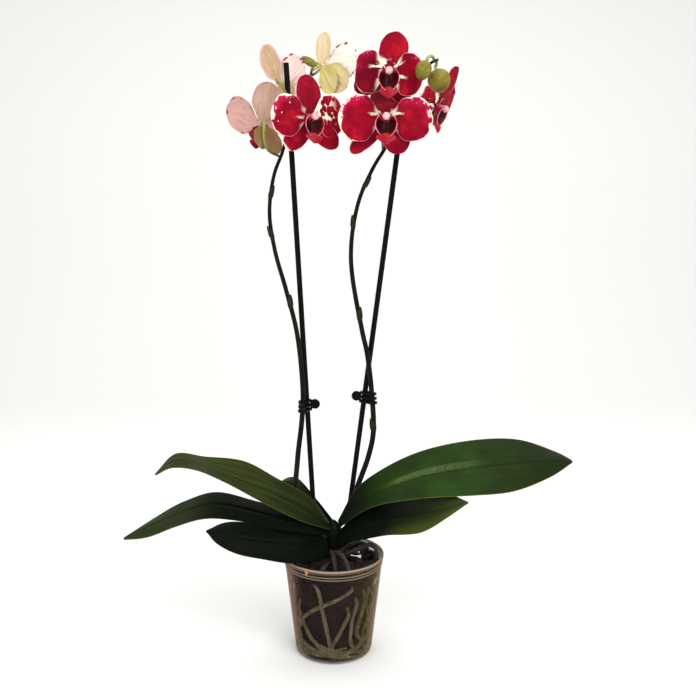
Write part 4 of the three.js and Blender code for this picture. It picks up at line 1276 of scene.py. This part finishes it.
class ORCHID_OT_clips(bpy.types.Operator):
    """Build the clips that hold each spike to its stake"""

    bl_idname = "orchid.clips"
    bl_label = "Clips"

    def execute(self, context):
        stems = context.scene.orchid_stems
        plastic = black_plastic(stems, "clip_plastic", 0.26)
        for name, clip in CLIPS.items():
            mesh = bmesh.new()
            self.add_clip(mesh, clip, stems.stake / MM + CLIP_PLAY)
            facing_out(mesh)
            stand_for(as_object(f"{name}_body", mesh, plastic, crease=45), "clip_black", name)
        return {"FINISHED"}

    def at_height(self, path, z):
        """The point of a rising stem at a height, which lies below its bend."""
        low, high = 0.0, STRAIGHT_SHARE
        for _ in range(30):
            middle = (low + high) / 2
            if path.along(middle).z < z:
                low = middle
            else:
                high = middle
        return path.along(low)

    def add_clip(self, mesh, clip, hole):
        """Adds three bands round a spike and its stake, a bar that joins them and a ring to press."""
        spike, stake = Path(SPIKES[clip["spike"]]["path"]), Path(STAKES[clip["stake"]])
        handle = clip["handle"]
        ends = []
        for step in (-1, 0, 1):
            z = clip["z"] + step * BAND_PITCH
            a, b = self.at_height(stake, z), self.at_height(spike, z)
            self.add_band(mesh, a, b, z, hole)
            owner = max((a, b), key=lambda place: place.x * handle)
            ends.append(Vector((owner.x + handle * (hole + CLIP_WALL / 2), owner.y, z)))
        low = ends[0] - Vector((0, 0, BAND_HEIGHT / 2))
        high = ends[2] + Vector((0, 0, BAND_HEIGHT / 2))
        add_rod(mesh, Path([low, high]), lambda share, turn: CLIP_WALL * 0.75, 12, 14)
        self.add_ring(mesh, ends[1] + Vector((handle * (RING_RADIUS + RING_WIRE * 0.2), 0, 1)))

    def add_band(self, mesh, a, b, z, hole):
        """Adds one flat band, closed round both stems."""
        along = Vector((b.x - a.x, b.y - a.y, 0))
        ahead = along.normalized()
        aside = Vector((-ahead.y, ahead.x, 0))
        middle = hole + CLIP_WALL / 2

        def place_at(turn, section):
            centre = Vector((a.x, a.y, z)) + (along if math.cos(turn) > 0 else Vector())
            out = ahead * math.cos(turn) + aside * math.sin(turn)
            thick = CLIP_WALL / 2 * self.squarish(math.cos(section))
            tall = BAND_HEIGHT / 2 * self.squarish(math.sin(section))
            return centre + out * (middle + thick) + Vector((0, 0, tall))
        add_loop(mesh, 64, 12, place_at)

    def squarish(self, value):
        """Pushes a circle's section out towards a square with round corners."""
        return math.copysign(abs(value) ** CLIP_CORNERS, value)

    def add_ring(self, mesh, centre):
        """Adds the upright ring with the thin disc that closes it."""
        def place_at(turn, section):
            reach = RING_RADIUS + RING_WIRE * math.cos(section)
            return centre + Vector((
                reach * math.cos(turn), RING_WIRE * math.sin(section), reach * math.sin(turn)))
        add_loop(mesh, 40, 14, place_at)
        upright = Matrix.Translation(centre) @ Matrix.Rotation(math.pi / 2, 4, "X")
        bmesh.ops.create_cone(mesh, cap_ends=True, segments=40, radius1=RING_RADIUS, radius2=RING_RADIUS,
                              depth=RING_WEB, matrix=upright)


# ---------------------------------------------------------------- blooms

HUB_RADIUS = 5.5
HUB_DEPTH = 3.8

# centre is the middle of the bloom and face the way it looks. Each petal or sepal is (angle from the
# bloom's right, length, greatest width, how far it leans back, strength of its cream margin, of the
# white at its foot and of its painted shade, which on the back is a darker flush of colour). A white
# above 1 also spreads as mottling. streaks are the heights of the petals' white streaks.
BLOOMS = {
    "bloom_1": {
        "centre": (57.3, -35, 617.1), "face": (0.04, -1, -0.08), "size": 1, "finish": "red",
        "streaks": (6, 6),
        "petals": [(1, 52.3, 46, 0.05, 1, 0.8, 0.12), (177.6, 50.9, 49, 0.04, 1, 0.7, 0.04)],
        "sepals": [(88.8, 48.7, 32, 0.75, 0, 0.9, 0.3), (302.4, 40.9, 30, 0.12, 0.05, 0, 0.3),
                   (223.5, 51.2, 20, 0.1, 0.3, 0, 0.35)],
    },
    "bloom_2": {
        "centre": (59.8, -44, 663.8), "face": (0.02, -0.97, -0.2), "size": 0.95, "finish": "red",
        "streaks": (-5, 7),
        "petals": [(355.4, 44.3, 46, 0.35, 0.4, 1, 0.15), (177.6, 40, 46, 0.35, 0.45, 1.4, 0.6)],
        "sepals": [(75.4, 44.7, 32, 0.15, 0, 1.4, 0), (309.2, 42.9, 25, 0.45, 0, 0, 0.5),
                   (206.8, 44.4, 26, 0.4, 0.1, 0, 0.5)],
    },
    "bloom_3": {
        "centre": (121, 46, 645.6), "face": (0.74, -0.42, -0.4), "size": 0.96, "finish": "red",
        "streaks": (0, 0),
        "petals": [(26, 54, 42, 0.1, 0.1, 0.6, 0.2), (176.6, 44.5, 44, 0.1, 0.5, 1.5, 0.15)],
        "sepals": [(77.7, 55, 32, -0.1, 0.2, 1, 0.3), (340, 46, 24, 0.1, 0.3, 0.5, 0.1),
                   (286, 43.4, 26, 0.1, 0.2, 0.6, 0.2)],
    },
    "bloom_4": {
        "centre": (-24.5, -35, 617.6), "face": (0.55, -0.83, -0.08), "size": 0.98, "finish": "red",
        "streaks": (3, 1),
        "petals": [(10.8, 49.6, 45, 0.1, 0.2, 2, 0.1), (175.5, 44.2, 45, 0.2, 1, 0.5, 0.15)],
        "sepals": [(80.9, 52.2, 33, 0.3, 0.1, 0.6, 0.3), (326.7, 48.8, 26, 0, 0.2, 0.3, 0.25),
                   (238.1, 40.9, 27, 0.2, 0.6, 0, 0.15)],
    },
    "bloom_5": {
        "centre": (-83.9, 30, 623.9), "face": (-0.6, 0.75, -0.1), "size": 0.95, "finish": "dusty",
        "streaks": (0, 0),
        "petals": [(11.1, 52.1, 42, 0.1, 0.6, 0.3, 0.1), (157.8, 47.7, 42, 0.1, 0.6, 0.3, 0.1)],
        "sepals": [(102.4, 49.7, 40, 0.2, 0.3, 0.5, 0), (277.8, 33, 23, 0.1, 0.2, 0, 1),
                   (243.6, 41.4, 26, 0.1, 0.2, 0, 1)],
    },
    "bloom_6": {
        "centre": (-63.2, 65, 676.6), "face": (0.6, 0.8, 0), "size": 0.95, "finish": "peach",
        "streaks": (0, 0),
        "petals": [(20, 48, 40, -0.9, 0.6, 0.3, 0.1), (140.4, 40.6, 44, -0.2, 0.6, 0.3, 0.1)],
        "sepals": [(61.8, 57, 30, 0, 0.2, 0.5, 0), (264.9, 30, 24, 0.05, 0.2, 0, 0.6),
                   (222.5, 33.5, 26, 0.05, 0.2, 0, 0.6)],
    },
    "bloom_7": {
        "centre": (-13.2, 42, 690.1), "face": (0.55, 0.82, -0.12), "size": 0.95, "finish": "lemon",
        "streaks": (0, 0),
        "petals": [(50, 50, 38, -0.8, 0.6, 0.3, 0.1), (174.1, 50.2, 46, -0.1, 0.6, 0.3, 0.1)],
        "sepals": [(98.3, 40.2, 23, 0.1, 0.2, 0.5, 0), (235.5, 42.5, 26, 0.05, 0.2, 0, 0.8),
                   (217.2, 50.1, 33, -0.05, 0.2, 0, 0.6)],
    },
}
# fullest is the share of the length where a form is widest, claw how wide it starts, level its place in
# front of the middle, tuck how far that falls back where it leans forwards, and the others its bends.
PETAL = {"fullest": 0.56, "claw": 0.34, "level": 1, "tuck": 2.2, "curl": 0.03, "droop": 0.03, "wave": 1,
         "sepal": 0}
SEPAL = {"fullest": 0.5, "claw": 0.5, "level": -0.6, "tuck": 0, "curl": 0.05, "droop": 0.1, "wave": 0.5,
         "sepal": 1}
TEPAL_START = 2.0                  # how far from the middle a petal or sepal begins

# The backs of petals and of sepals, their veins, the flush of the darker sepals and the sepals' edges.
BACKS = {
    "red": (tint(214, 150, 150), tint(196, 150, 120), tint(150, 60, 70), tint(120, 60, 50),
            tint(196, 120, 130)),
    "dusty": (tint(208, 164, 160), tint(206, 172, 154), tint(158, 122, 98), tint(134, 122, 54),
              tint(206, 150, 150)),
    "peach": (tint(246, 218, 214), tint(208, 174, 144), tint(160, 134, 86), tint(180, 160, 92),
              tint(238, 192, 188)),
    "lemon": (tint(254, 244, 236), tint(238, 212, 184), tint(190, 172, 96), tint(212, 200, 118),
              tint(210, 200, 110)),
}


def outline_share(t, fullest, claw):
    """The outline's half width as a share of its largest, from a narrow claw to a blunt end."""
    power = math.log(0.5) / math.log(fullest)
    along = 0.02 + 0.955 * max(t, 0) ** power
    oval = math.sqrt(max(0.02, 1 - abs(2 * along - 1) ** 2.5))
    return oval * (claw + (1 - claw) * smooth(t, 0, 0.38))


def add_tepal(mesh, measures, form, streak, seed, thickness):
    """Adds one petal or sepal in the bloom's own frame: x to its right, y up, z the way it faces."""
    angle, length, width, lean, trim, star, depth = measures
    out_x, out_y = math.cos(math.radians(angle)), math.sin(math.radians(angle))
    run = (length - TEPAL_START) / math.hypot(1, lean)
    level = form["level"] + form["tuck"] * min(lean, 0)

    def half_at(t):
        return outline_share(t, form["fullest"], form["claw"]) * width / 2

    def surface(s, t):
        ruffle = 1 + 0.035 * noise.noise(Vector((t * 5, seed * 3.1, s * 0.6))) * smooth(t, 0.3, 0.6)
        half = half_at(t) * ruffle
        reach = TEPAL_START + run * (t - 0.05 * s * s * t ** 4)
        rise = level - run * (lean * t + form["curl"] * t * t) - form["droop"] * half * s * s
        rise += form["wave"] * math.sin(9 * t + angle) * abs(s) ** 3
        swell = noise.noise(Vector((s * 1.6, t * 2.2, seed))) * 1.3 * smooth(t, 0.15, 0.4)
        crease = -0.7 * math.exp(-(s / 0.09) ** 2) * (1 - smooth(t, 0.7, 1))
        return Vector((
            out_x * reach + out_y * half * s, out_y * reach - out_x * half * s, rise + swell + crease))

    marks = {
        "across": lambda s, t: s * half_at(t),
        "along": lambda s, t: t * length,
        "share": lambda s, t: t,
        "spread": lambda s, t: s,
        "inset": lambda s, t: min((1 - abs(s)) * half_at(t), (1 - t) * run),
        "high": lambda s, t: surface(s, t).y,
        **{name: lambda s, t, value=value: value for name, value in (
            ("sepal", form["sepal"]), ("seed", seed), ("trim", trim), ("star", star), ("depth", depth),
            ("streak", streak))},
    }
    add_sheet(mesh, 26, 34, surface, lambda s, t: thickness * (1 - 0.5 * smooth(abs(s), 0.8, 1)), marks)


def add_hub(mesh):
    """Adds the knob that the tepals and the stalk meet in."""
    layers = mark_layers(mesh, ("side", "inset", "sepal"))
    flat = Matrix.Diagonal((1, 1, HUB_DEPTH / HUB_RADIUS / 2, 1))
    knob = bmesh.ops.create_icosphere(mesh, subdivisions=3, radius=HUB_RADIUS, matrix=flat)["verts"]
    for vert in knob:
        vert[layers["side"]] = 1 if vert.co.z > 0 else 0
        vert[layers["inset"]] = 12
        vert[layers["sepal"]] = 1


def tepal_skin(blooms, finish):
    """Crimson front with cream margins, dots and white streaks, painted shade and tiny painted highlights;
    pale veined back.
    """
    shader = Shader(f"tepal_{finish}")
    across, along, share, spread, inset, high = (
        shader.attribute(name) for name in ("across", "along", "share", "spread", "inset", "high"))
    sepal, seed, side, trim, star, depth, streak = (
        shader.attribute(name) for name in ("sepal", "seed", "side", "trim", "star", "depth", "streak"))
    flat = shader.vector(across, along, seed * 17.3)
    cloud = shader.noise(flat, 0.07, 2)
    edging = shader.noise(flat, 0.13, 2, 0.5)
    dots = shader.cells(flat, 0.45)
    islands = shader.cells(flat, 0.17)
    blotches = shader.cells(flat, 0.26)
    veins = shader.noise(shader.vector(spread * 16, along * 0.05, seed * 9.1), 1, 2, 0.5)
    velvet = shader.noise(flat, 4, 2)
    petal = 1 - sepal

    front = shader.mix(blooms.crimson, tint(118, 3, 26), veins.over(0.45, 0.7) * 0.3)
    front = shader.mix(front, tint(186, 22, 38), cloud.over(0.48, 0.72) * 0.75)
    front = shader.mix(front, tint(110, 2, 30), cloud.below(0.28, 0.46) * 0.6)
    # Painted shade: depth darkens the front towards maroon.
    front = shader.mix(front, tint(72, 2, 18), depth)
    # Painted shade: each tepal is darker near the bloom's middle.
    front = shader.mix(front, tint(90, 2, 20), along.below(6, 20) * 0.5)
    outer = trim * share.over(0.5, 0.95)
    upper = trim * high.over(-3, 9) * share.over(0.25, 0.7)
    flushed = inset.below(3, 13) * upper * cloud.over(0.25, 0.5)
    front = shader.mix(front, blooms.magenta, flushed.least(1))
    edge_width = 0.3 + outer * (0.4 + edging.over(0.3, 0.65) * 4)
    edge_width = edge_width + upper * edging.over(0.4, 0.6) * 2.5
    margin = (inset / edge_width).below(0.75, 1.1)
    fringe = dots.below(0.18, 0.28) * inset.below(3, 8) * upper * edging.over(0.42, 0.52)
    pale = shader.mix(tint(220, 148, 158), blooms.cream, (outer + upper).least(1))
    front = shader.mix(front, pale, margin.most(fringe).least(1))
    front = shader.mix(front, blooms.magenta, (dots.below(0.2, 0.32) * margin * upper * 1.3).least(1))
    blots = blotches.below(0.3, 0.42) * inset.over(1, 1.6) * inset.below(3.5, 6) * upper
    front = shader.mix(front, tint(150, 10, 62), blots.least(1) * 0.85)
    burst = star.least(1)
    foot = along.over(4, 7) * along.below(burst * 12 + 3, burst * 15 + 9)
    wander = abs(high - streak * along.over(0, 7) + (edging - 0.5) * 7).below(0.8, 1.7)
    flank = (abs(spread) + (edging - 0.5)).over(0.5, 0.7) * along.below(burst * 5 + 3, burst * 8 + 7)
    streaks = (wander * petal).most(flank) * foot * burst
    reach = (star - 1) * 0.85
    mottle = (star - 1).over(0, 0.1) * share.below(reach - 0.3, reach) * high.over(-5, 4)
    mottle = mottle * (islands + (edging - 0.5) * 0.4).over(0.56, 0.64)
    # Painted highlights: tiny cream dots over the petals, away from their foot.
    painted_glints = shader.cells(flat, 0.07).below(0.04, 0.06) * along.over(12, 20) * petal
    front = shader.mix(front, blooms.cream, (streaks + mottle + painted_glints).least(1))

    petal_back, sepal_back, vein, flush, sepal_edge = BACKS[finish]
    back = shader.mix(petal_back, sepal_back, sepal)
    back = shader.mix(back, sepal_edge, inset.below(0.8, 4.5) * sepal * 0.8)
    # On the back, depth gives a darker flush of the back's own colour.
    back = shader.mix(back, flush, (depth * 0.8 + along.below(2, 26) * sepal * 0.3).least(1))
    back = shader.mix(back, vein, veins.over(0.5, 0.68) * 0.55)
    back = shader.mix(back, flush, sepal * veins.below(0.3, 0.42) * 0.35)
    back = shader.mix(back, tint(152, 96, 78), depth.over(0.85, 1) * cloud.below(0.35, 0.6) * 0.6)
    back_dots = islands.below(0.38, 0.46) * inset.below(1.8, 4) * petal * trim * 1.6
    back = shader.mix(back, tint(140, 14, 46), back_dots.least(1))
    colour = shader.mix(back, front, side.over(0.35, 0.65))
    normal = shader.bump(veins * 0.3 + velvet * 0.1, 0.0005, 0.3)
    return shader.finish(
        base_color=colour, roughness=0.5 + velvet * 0.2, normal=normal, specular_ior_level=0.05)


# How wide the lip's middle lobe is along its length, as shares.
TONGUE = [(0, 0.4), (0.25, 0.78), (0.4, 1), (0.55, 0.84), (0.75, 0.58), (1, 0.12)]
TONGUE_HALF = 11
CUP_DEPTH = 10
CUP_OPENING = 140                  # degrees from the cup's foot to the edge of its opening
COLUMN = [(0, 0), (3, 0), (2.8, 3), (2.8, 5), (3.3, 7), (3.9, 9), (4.1, 10.5), (4.1, 11.6), (3.7, 12.8),
          (3, 13.6), (1.6, 14.2), (0, 14.4)]
COLUMN_LIFT = 2                    # how far the column stands above the bloom's middle


def add_lip(mesh, thickness):
    """Adds the cup of the two side lobes and the pointed middle lobe."""
    def cup(s, t):
        turn = math.radians(-90 + CUP_OPENING * s)
        radius = (0.9 + 10.6 * math.sqrt(max(t, 0))) * (1 + 0.05 * math.sin(3 * turn) * t)
        horn = 1.2 * smooth(abs(s), 0.8, 1) * t
        return Vector((
            radius * math.cos(turn), -4.5 - 3 * t + radius * math.sin(turn) + horn, 2.8 + CUP_DEPTH * t))

    def tongue(s, t):
        half = TONGUE_HALF * look_up(TONGUE, t)
        ridge = 1.2 * math.exp(-(s / 0.16) ** 2) * (1 - smooth(t, 0.5, 1))
        return Vector((half * s, -14.5 - 12.5 * t, 8.9 + 12.6 * t - 5 * t * t - 1.5 * s * s + ridge))

    cup_marks = {
        "lobe": lambda s, t: 0, "edge": lambda s, t: min((1 - t) * 12, (1 - abs(s)) * 20),
        "across": lambda s, t: s * 10, "along": lambda s, t: t * 12,
    }
    tongue_marks = {
        "lobe": lambda s, t: 1, "edge": lambda s, t: min((1 - abs(s)) * 8, (1 - t) * 14),
        "across": lambda s, t: s * 10, "along": lambda s, t: t * 14,
    }
    add_sheet(mesh, 56, 16, cup, lambda s, t: thickness, cup_marks)
    add_sheet(mesh, 24, 24, tongue, lambda s, t: thickness, tongue_marks)


def lip_skin(blooms):
    """Dark maroon cup with thin pink-white rims; red middle lobe with yellow lines."""
    shader = Shader("lip_skin")
    lobe, edge, across, along, side = (
        shader.attribute(name) for name in ("lobe", "edge", "across", "along", "side"))
    place = shader.place()
    cloud = shader.noise(place, 260, 2)
    lines = (across * 2.6 + cloud * 1.5).sine().over(0.7, 0.95)
    cup = shader.mix(tint(44, 2, 8), blooms.maroon, cloud.over(0.35, 0.65))
    cup = shader.mix(cup, tint(150, 18, 44), side.over(0.35, 0.65) * 0.9)
    cup = shader.mix(cup, tint(140, 12, 34), (edge + cloud * 3).below(2.5, 4.5) * 0.85)
    rim = shader.mix(tint(196, 70, 96), tint(232, 160, 168), cloud.over(0.4, 0.6))
    cup = shader.mix(cup, rim, (edge + cloud * 0.8).below(0.45, 0.85))
    tongue = shader.mix(blooms.orange, tint(150, 10, 34), along.over(3, 9))
    tongue = shader.mix(tongue, tint(226, 140, 62), lines * along.below(2, 6) * 0.5)
    tongue = shader.mix(tongue, blooms.maroon, along.below(0.8, 2.4) * 0.8)
    tongue = shader.mix(tongue, tint(190, 60, 90), edge.below(0.2, 0.9) * 0.6)
    colour = shader.mix(cup, tongue, lobe)
    normal = shader.bump(cloud, 0.0004, 0.4)
    return shader.finish(
        base_color=colour, roughness=0.35 + cloud * 0.12, normal=normal, specular_ior_level=0.15)


def add_column(mesh):
    """Adds the stout column with its cap, leaning over the cup."""
    add_turned(mesh, COLUMN, 28)
    length = COLUMN[-1][1]
    along = mark_layers(mesh, ["along"])["along"]
    for vert in mesh.verts:
        vert[along] = vert.co.z / length
        if vert.co.z > 9 and vert.co.y < -1:
            vert.co.z -= 0.9 * smooth(-vert.co.y, 1, 3.5)
    bmesh.ops.translate(mesh, verts=mesh.verts, vec=(0, COLUMN_LIFT, HUB_DEPTH / 2 + GAP))


def column_skin():
    """Pinkish column with a cream cap and a flushed foot."""
    shader = Shader("column_skin")
    along = shader.attribute("along")
    place = shader.place()
    mottle = shader.noise(place, 420, 2)
    colour = shader.mix(tint(190, 44, 84), tint(234, 172, 186), along.over(0.1, 0.7))
    colour = shader.mix(colour, tint(240, 196, 190), along.over(0.8, 0.95))
    colour = shader.mix(colour, tint(206, 96, 124), mottle.over(0.46, 0.66) * 0.7)
    normal = shader.bump(mottle, 0.0004, 0.3)
    return shader.finish(base_color=colour, roughness=0.5, normal=normal, specular_ior_level=0.2)


def bloom_place(bloom):
    """The transform from a bloom's own frame to the plant's, in millimetres."""
    facing = Vector(bloom["face"]).normalized()
    up = (Vector((0, 0, 1)) - facing * facing.z).normalized()
    right = up.cross(facing)
    turn = Matrix((right, up, facing)).transposed().to_4x4()
    return Matrix.Translation(bloom["centre"]) @ turn @ Matrix.Scale(bloom["size"], 4)


class ORCHID_OT_blooms(bpy.types.Operator):
    """Build the blooms: tepals, lip and column for each"""

    bl_idname = "orchid.blooms"
    bl_label = "Blooms"

    def execute(self, context):
        blooms = context.scene.orchid_blooms
        skins = {finish: tepal_skin(blooms, finish) for finish in BACKS}
        lip, column = lip_skin(blooms), column_skin()
        thickness = blooms.thickness / MM
        for number, (name, bloom) in enumerate(BLOOMS.items()):
            place = bloom_place(bloom)
            mesh = bmesh.new()
            self.add_tepals(mesh, bloom, number, thickness)
            self.settle(mesh, place, f"{name}_flower", skins[bloom["finish"]], "petal_red", f"{name}_tepals")
            mesh = bmesh.new()
            add_lip(mesh, thickness)
            self.settle(mesh, place, f"{name}_cup", lip, "lip_maroon", f"{name}_lip")
            mesh = bmesh.new()
            add_column(mesh)
            facing_out(mesh)
            self.settle(mesh, place, f"{name}_pillar", column, "column_pink", f"{name}_column")
        return {"FINISHED"}

    def add_tepals(self, mesh, bloom, number, thickness):
        """Adds a bloom's two petals and three sepals, each with a seed of its own."""
        tepals = [(measures, PETAL, streak) for measures, streak in zip(bloom["petals"], bloom["streaks"])]
        tepals += [(measures, SEPAL, 0) for measures in bloom["sepals"]]
        for index, (measures, form, streak) in enumerate(tepals):
            add_tepal(mesh, measures, form, streak, number * 5 + index + 1, thickness)
        add_hub(mesh)

    def settle(self, mesh, place, name, material, slot, node):
        """Moves a finished piece from the bloom's own frame to its place on the plant."""
        bmesh.ops.transform(mesh, matrix=place, verts=mesh.verts)
        stand_for(as_object(name, mesh, material, crease=70), slot, node)


# ---------------------------------------------------------------- buds

# towards points from the stalk to the bud's tip.
BUDS = {
    "bud_1": {"centre": (-26.5, 4.5, 687), "towards": (-0.88, 0, 0.48), "length": 19, "width": 9},
    "bud_2": {"centre": (96.6, -46, 665.2), "towards": (-0.35, -0.1, -0.93), "length": 21, "width": 17},
    "bud_3": {"centre": (115.8, -28, 658.5), "towards": (0.22, -0.25, -0.94), "length": 25,
              "width": 24.5},
}
BUD_ROWS = 36
BUD_SEAMS = 3
BUD_RIBS = 12
SEAM_WIDTH = 0.06                  # as a share of the way from seam to seam
SEAM_DEPTH = 0.055                 # as a share of the radius


def bud_skin(blooms):
    """Yellow-green bud with olive ribs and a brown flush towards its tip."""
    shader = Shader("bud_skin")
    along, rib = shader.attribute("along"), shader.attribute("rib")
    mottle = shader.noise(shader.place(), 190, 3)
    colour = shader.mix(blooms.bud_green, tint(152, 138, 56), mottle.over(0.45, 0.65) * 0.7)
    colour = shader.mix(colour, tint(92, 92, 32), rib.over(0.4, 0.9) * 0.3)
    colour = shader.mix(colour, tint(82, 46, 28), along.over(0.6, 1) * mottle.over(0.3, 0.6) * 0.8)
    normal = shader.bump(mottle, 0.0006, 0.35)
    return shader.finish(base_color=colour, roughness=0.46, normal=normal, specular_ior_level=0.12)


class ORCHID_OT_buds(bpy.types.Operator):
    """Build the unopened buds with their three pressed sepals"""

    bl_idname = "orchid.buds"
    bl_label = "Buds"

    def execute(self, context):
        skin = bud_skin(context.scene.orchid_blooms)
        for name, bud in BUDS.items():
            mesh = bmesh.new()
            self.add_bud(mesh, bud)
            facing_out(mesh)
            stand_for(as_object(f"{name}_body", mesh, skin, crease=60), "bud_green", name)
        return {"FINISHED"}

    def add_bud(self, mesh, bud):
        """Adds an egg, fuller towards the stalk, with pinched seams between its sepals."""
        length, width = bud["length"], bud["width"]
        profile = []
        for row in range(BUD_ROWS + 1):
            turn = math.pi * row / BUD_ROWS
            radius = width / 2 * math.sin(turn) * (1 + 0.12 * math.cos(turn))
            profile.append((radius if 0 < row < BUD_ROWS else 0, -length / 2 * math.cos(turn)))
        add_turned(mesh, profile, 60)
        layers = mark_layers(mesh, ("along", "rib"))
        for vert in mesh.verts:
            share = vert.co.z / length + 0.5
            turn = math.atan2(vert.co.y, vert.co.x)
            seam = math.exp(-((abs((turn / math.tau * BUD_SEAMS) % 1 - 0.5)) / SEAM_WIDTH) ** 2)
            pinch = 1 - SEAM_DEPTH * seam * math.sin(share * math.pi)
            vert.co.x *= pinch
            vert.co.y *= pinch
            vert[layers["along"]] = share
            rib = max(seam, 0.5 + 0.5 * math.cos(turn * BUD_RIBS))
            vert[layers["rib"]] = rib * math.sin(share * math.pi)
        axis = Vector(bud["towards"]).normalized()
        place = Matrix.Translation(bud["centre"]) @ axis.to_track_quat("Z", "Y").to_matrix().to_4x4()
        bmesh.ops.transform(mesh, matrix=place, verts=mesh.verts)


# ---------------------------------------------------------------- stage, in metres unless it says otherwise

# Each light's place, size and power as a share of the key light's.
LIGHTS = {
    "key_light": ((0.9, -1.5, 1.7), 1.3, 1.0),
    "fill_light": ((-1.6, -1.2, 1.0), 1.6, 0.4),
    "top_light": ((0.1, 0.5, 2.2), 1.6, 0.5),
}
LIGHT_AIM = (0, 0, 0.35)
WORLD_STRENGTH = 0.65
SENSOR_WIDTH = 36                  # in millimetres, like the lens
FLOOR_HALF = 6000                  # the floor and its bend are in millimetres, as every mesh is
FLOOR_BEND = 1500                  # how far behind the plant the floor starts to rise
BEND_RADIUS = 900


class ORCHID_OT_stage(bpy.types.Operator):
    """Build the pale floor and backdrop, the soft studio lights and the camera"""

    bl_idname = "orchid.stage"
    bl_label = "Stage"

    def execute(self, context):
        stage = context.scene.orchid_stage
        self.make_floor(stage)
        for name, (place, size, share) in LIGHTS.items():
            self.make_light(context, name, place, size, stage.key * share)
        self.make_world(context)
        self.make_camera(context, stage)
        return {"FINISHED"}

    def make_floor(self, stage):
        """A floor that curves up into a backdrop far behind the plant."""
        mesh = bmesh.new()
        grid = bmesh.ops.create_grid(mesh, x_segments=2, y_segments=120, size=FLOOR_HALF)["verts"]
        for vert in grid:
            beyond = vert.co.y - FLOOR_BEND
            if beyond > 0:
                turn = min(beyond / BEND_RADIUS, math.pi / 2)
                rise = max(beyond - BEND_RADIUS * math.pi / 2, 0)
                vert.co.y = FLOOR_BEND + BEND_RADIUS * math.sin(turn)
                vert.co.z = BEND_RADIUS * (1 - math.cos(turn)) + rise
        shader = Shader("floor_paper")
        grain = shader.noise(shader.place(), 180, 2)
        normal = shader.bump(grain, 0.0002, 0.2)
        floor = as_object("floor", mesh, shader.finish(base_color=stage.floor, roughness=0.9, normal=normal))

    def make_light(self, context, name, place, size, power):
        """A square soft light that points at the plant."""
        data = bpy.data.lights.new(name, "AREA")
        data.size = size
        data.energy = power
        light = bpy.data.objects.new(name, data)
        light.location = place
        aim = Vector(LIGHT_AIM) - light.location
        light.rotation_euler = aim.to_track_quat("-Z", "Y").to_euler()
        context.scene.collection.objects.link(light)

    def make_world(self, context):
        world = bpy.data.worlds.new("studio")
        world.use_nodes = True
        background = world.node_tree.nodes["Background"]
        background.inputs["Color"].default_value = tint(255, 255, 255)
        background.inputs["Strength"].default_value = WORLD_STRENGTH
        context.scene.world = world
        context.scene.view_settings.view_transform = "Standard"

    def make_camera(self, context, stage):
        data = bpy.data.cameras.new("camera")
        data.lens = stage.lens
        data.sensor_width = SENSOR_WIDTH
        camera = bpy.data.objects.new("camera", data)
        camera.location = (stage.camera_side, -stage.camera_distance, stage.camera_height)
        camera.rotation_euler = (math.pi / 2 - stage.camera_pitch, 0, 0)
        context.scene.collection.objects.link(camera)
        context.scene.camera = camera


# ---------------------------------------------------------------- panel and registration

OPERATORS = (
    ORCHID_OT_stage, ORCHID_OT_pot, ORCHID_OT_bark, ORCHID_OT_roots, ORCHID_OT_crown, ORCHID_OT_leaves,
    ORCHID_OT_stakes, ORCHID_OT_spikes, ORCHID_OT_clips, ORCHID_OT_blooms, ORCHID_OT_buds,
)
SETTINGS = {
    "orchid_pot": PotSettings,
    "orchid_filling": FillingSettings,
    "orchid_foliage": FoliageSettings,
    "orchid_stems": StemSettings,
    "orchid_blooms": BloomSettings,
    "orchid_stage": StageSettings,
}


class ORCHID_PT_sidebar(bpy.types.Panel):
    """Lists the settings and the operators of the potted orchid"""

    bl_idname = "ORCHID_PT_sidebar"
    bl_label = "Potted orchid"
    bl_space_type = "VIEW_3D"
    bl_region_type = "UI"
    bl_category = "Orchid"

    def draw(self, context):
        for operator in OPERATORS:
            self.layout.operator(operator.bl_idname)
        for key, group in SETTINGS.items():
            box = self.layout.box()
            for name in group.__annotations__:
                box.prop(getattr(context.scene, key), name)


CLASSES = (*SETTINGS.values(), *OPERATORS, ORCHID_PT_sidebar)


def register():
    for cls in CLASSES:
        bpy.utils.register_class(cls)
    for key, group in SETTINGS.items():
        setattr(bpy.types.Scene, key, bpy.props.PointerProperty(type=group))


def unregister():
    for key in SETTINGS:
        delattr(bpy.types.Scene, key)
    for cls in reversed(CLASSES):
        bpy.utils.unregister_class(cls)


def main():
    register()
    for operator in OPERATORS:
        group, name = operator.bl_idname.split(".")
        getattr(getattr(bpy.ops, group), name)()


if __name__ == "__main__":
    main()
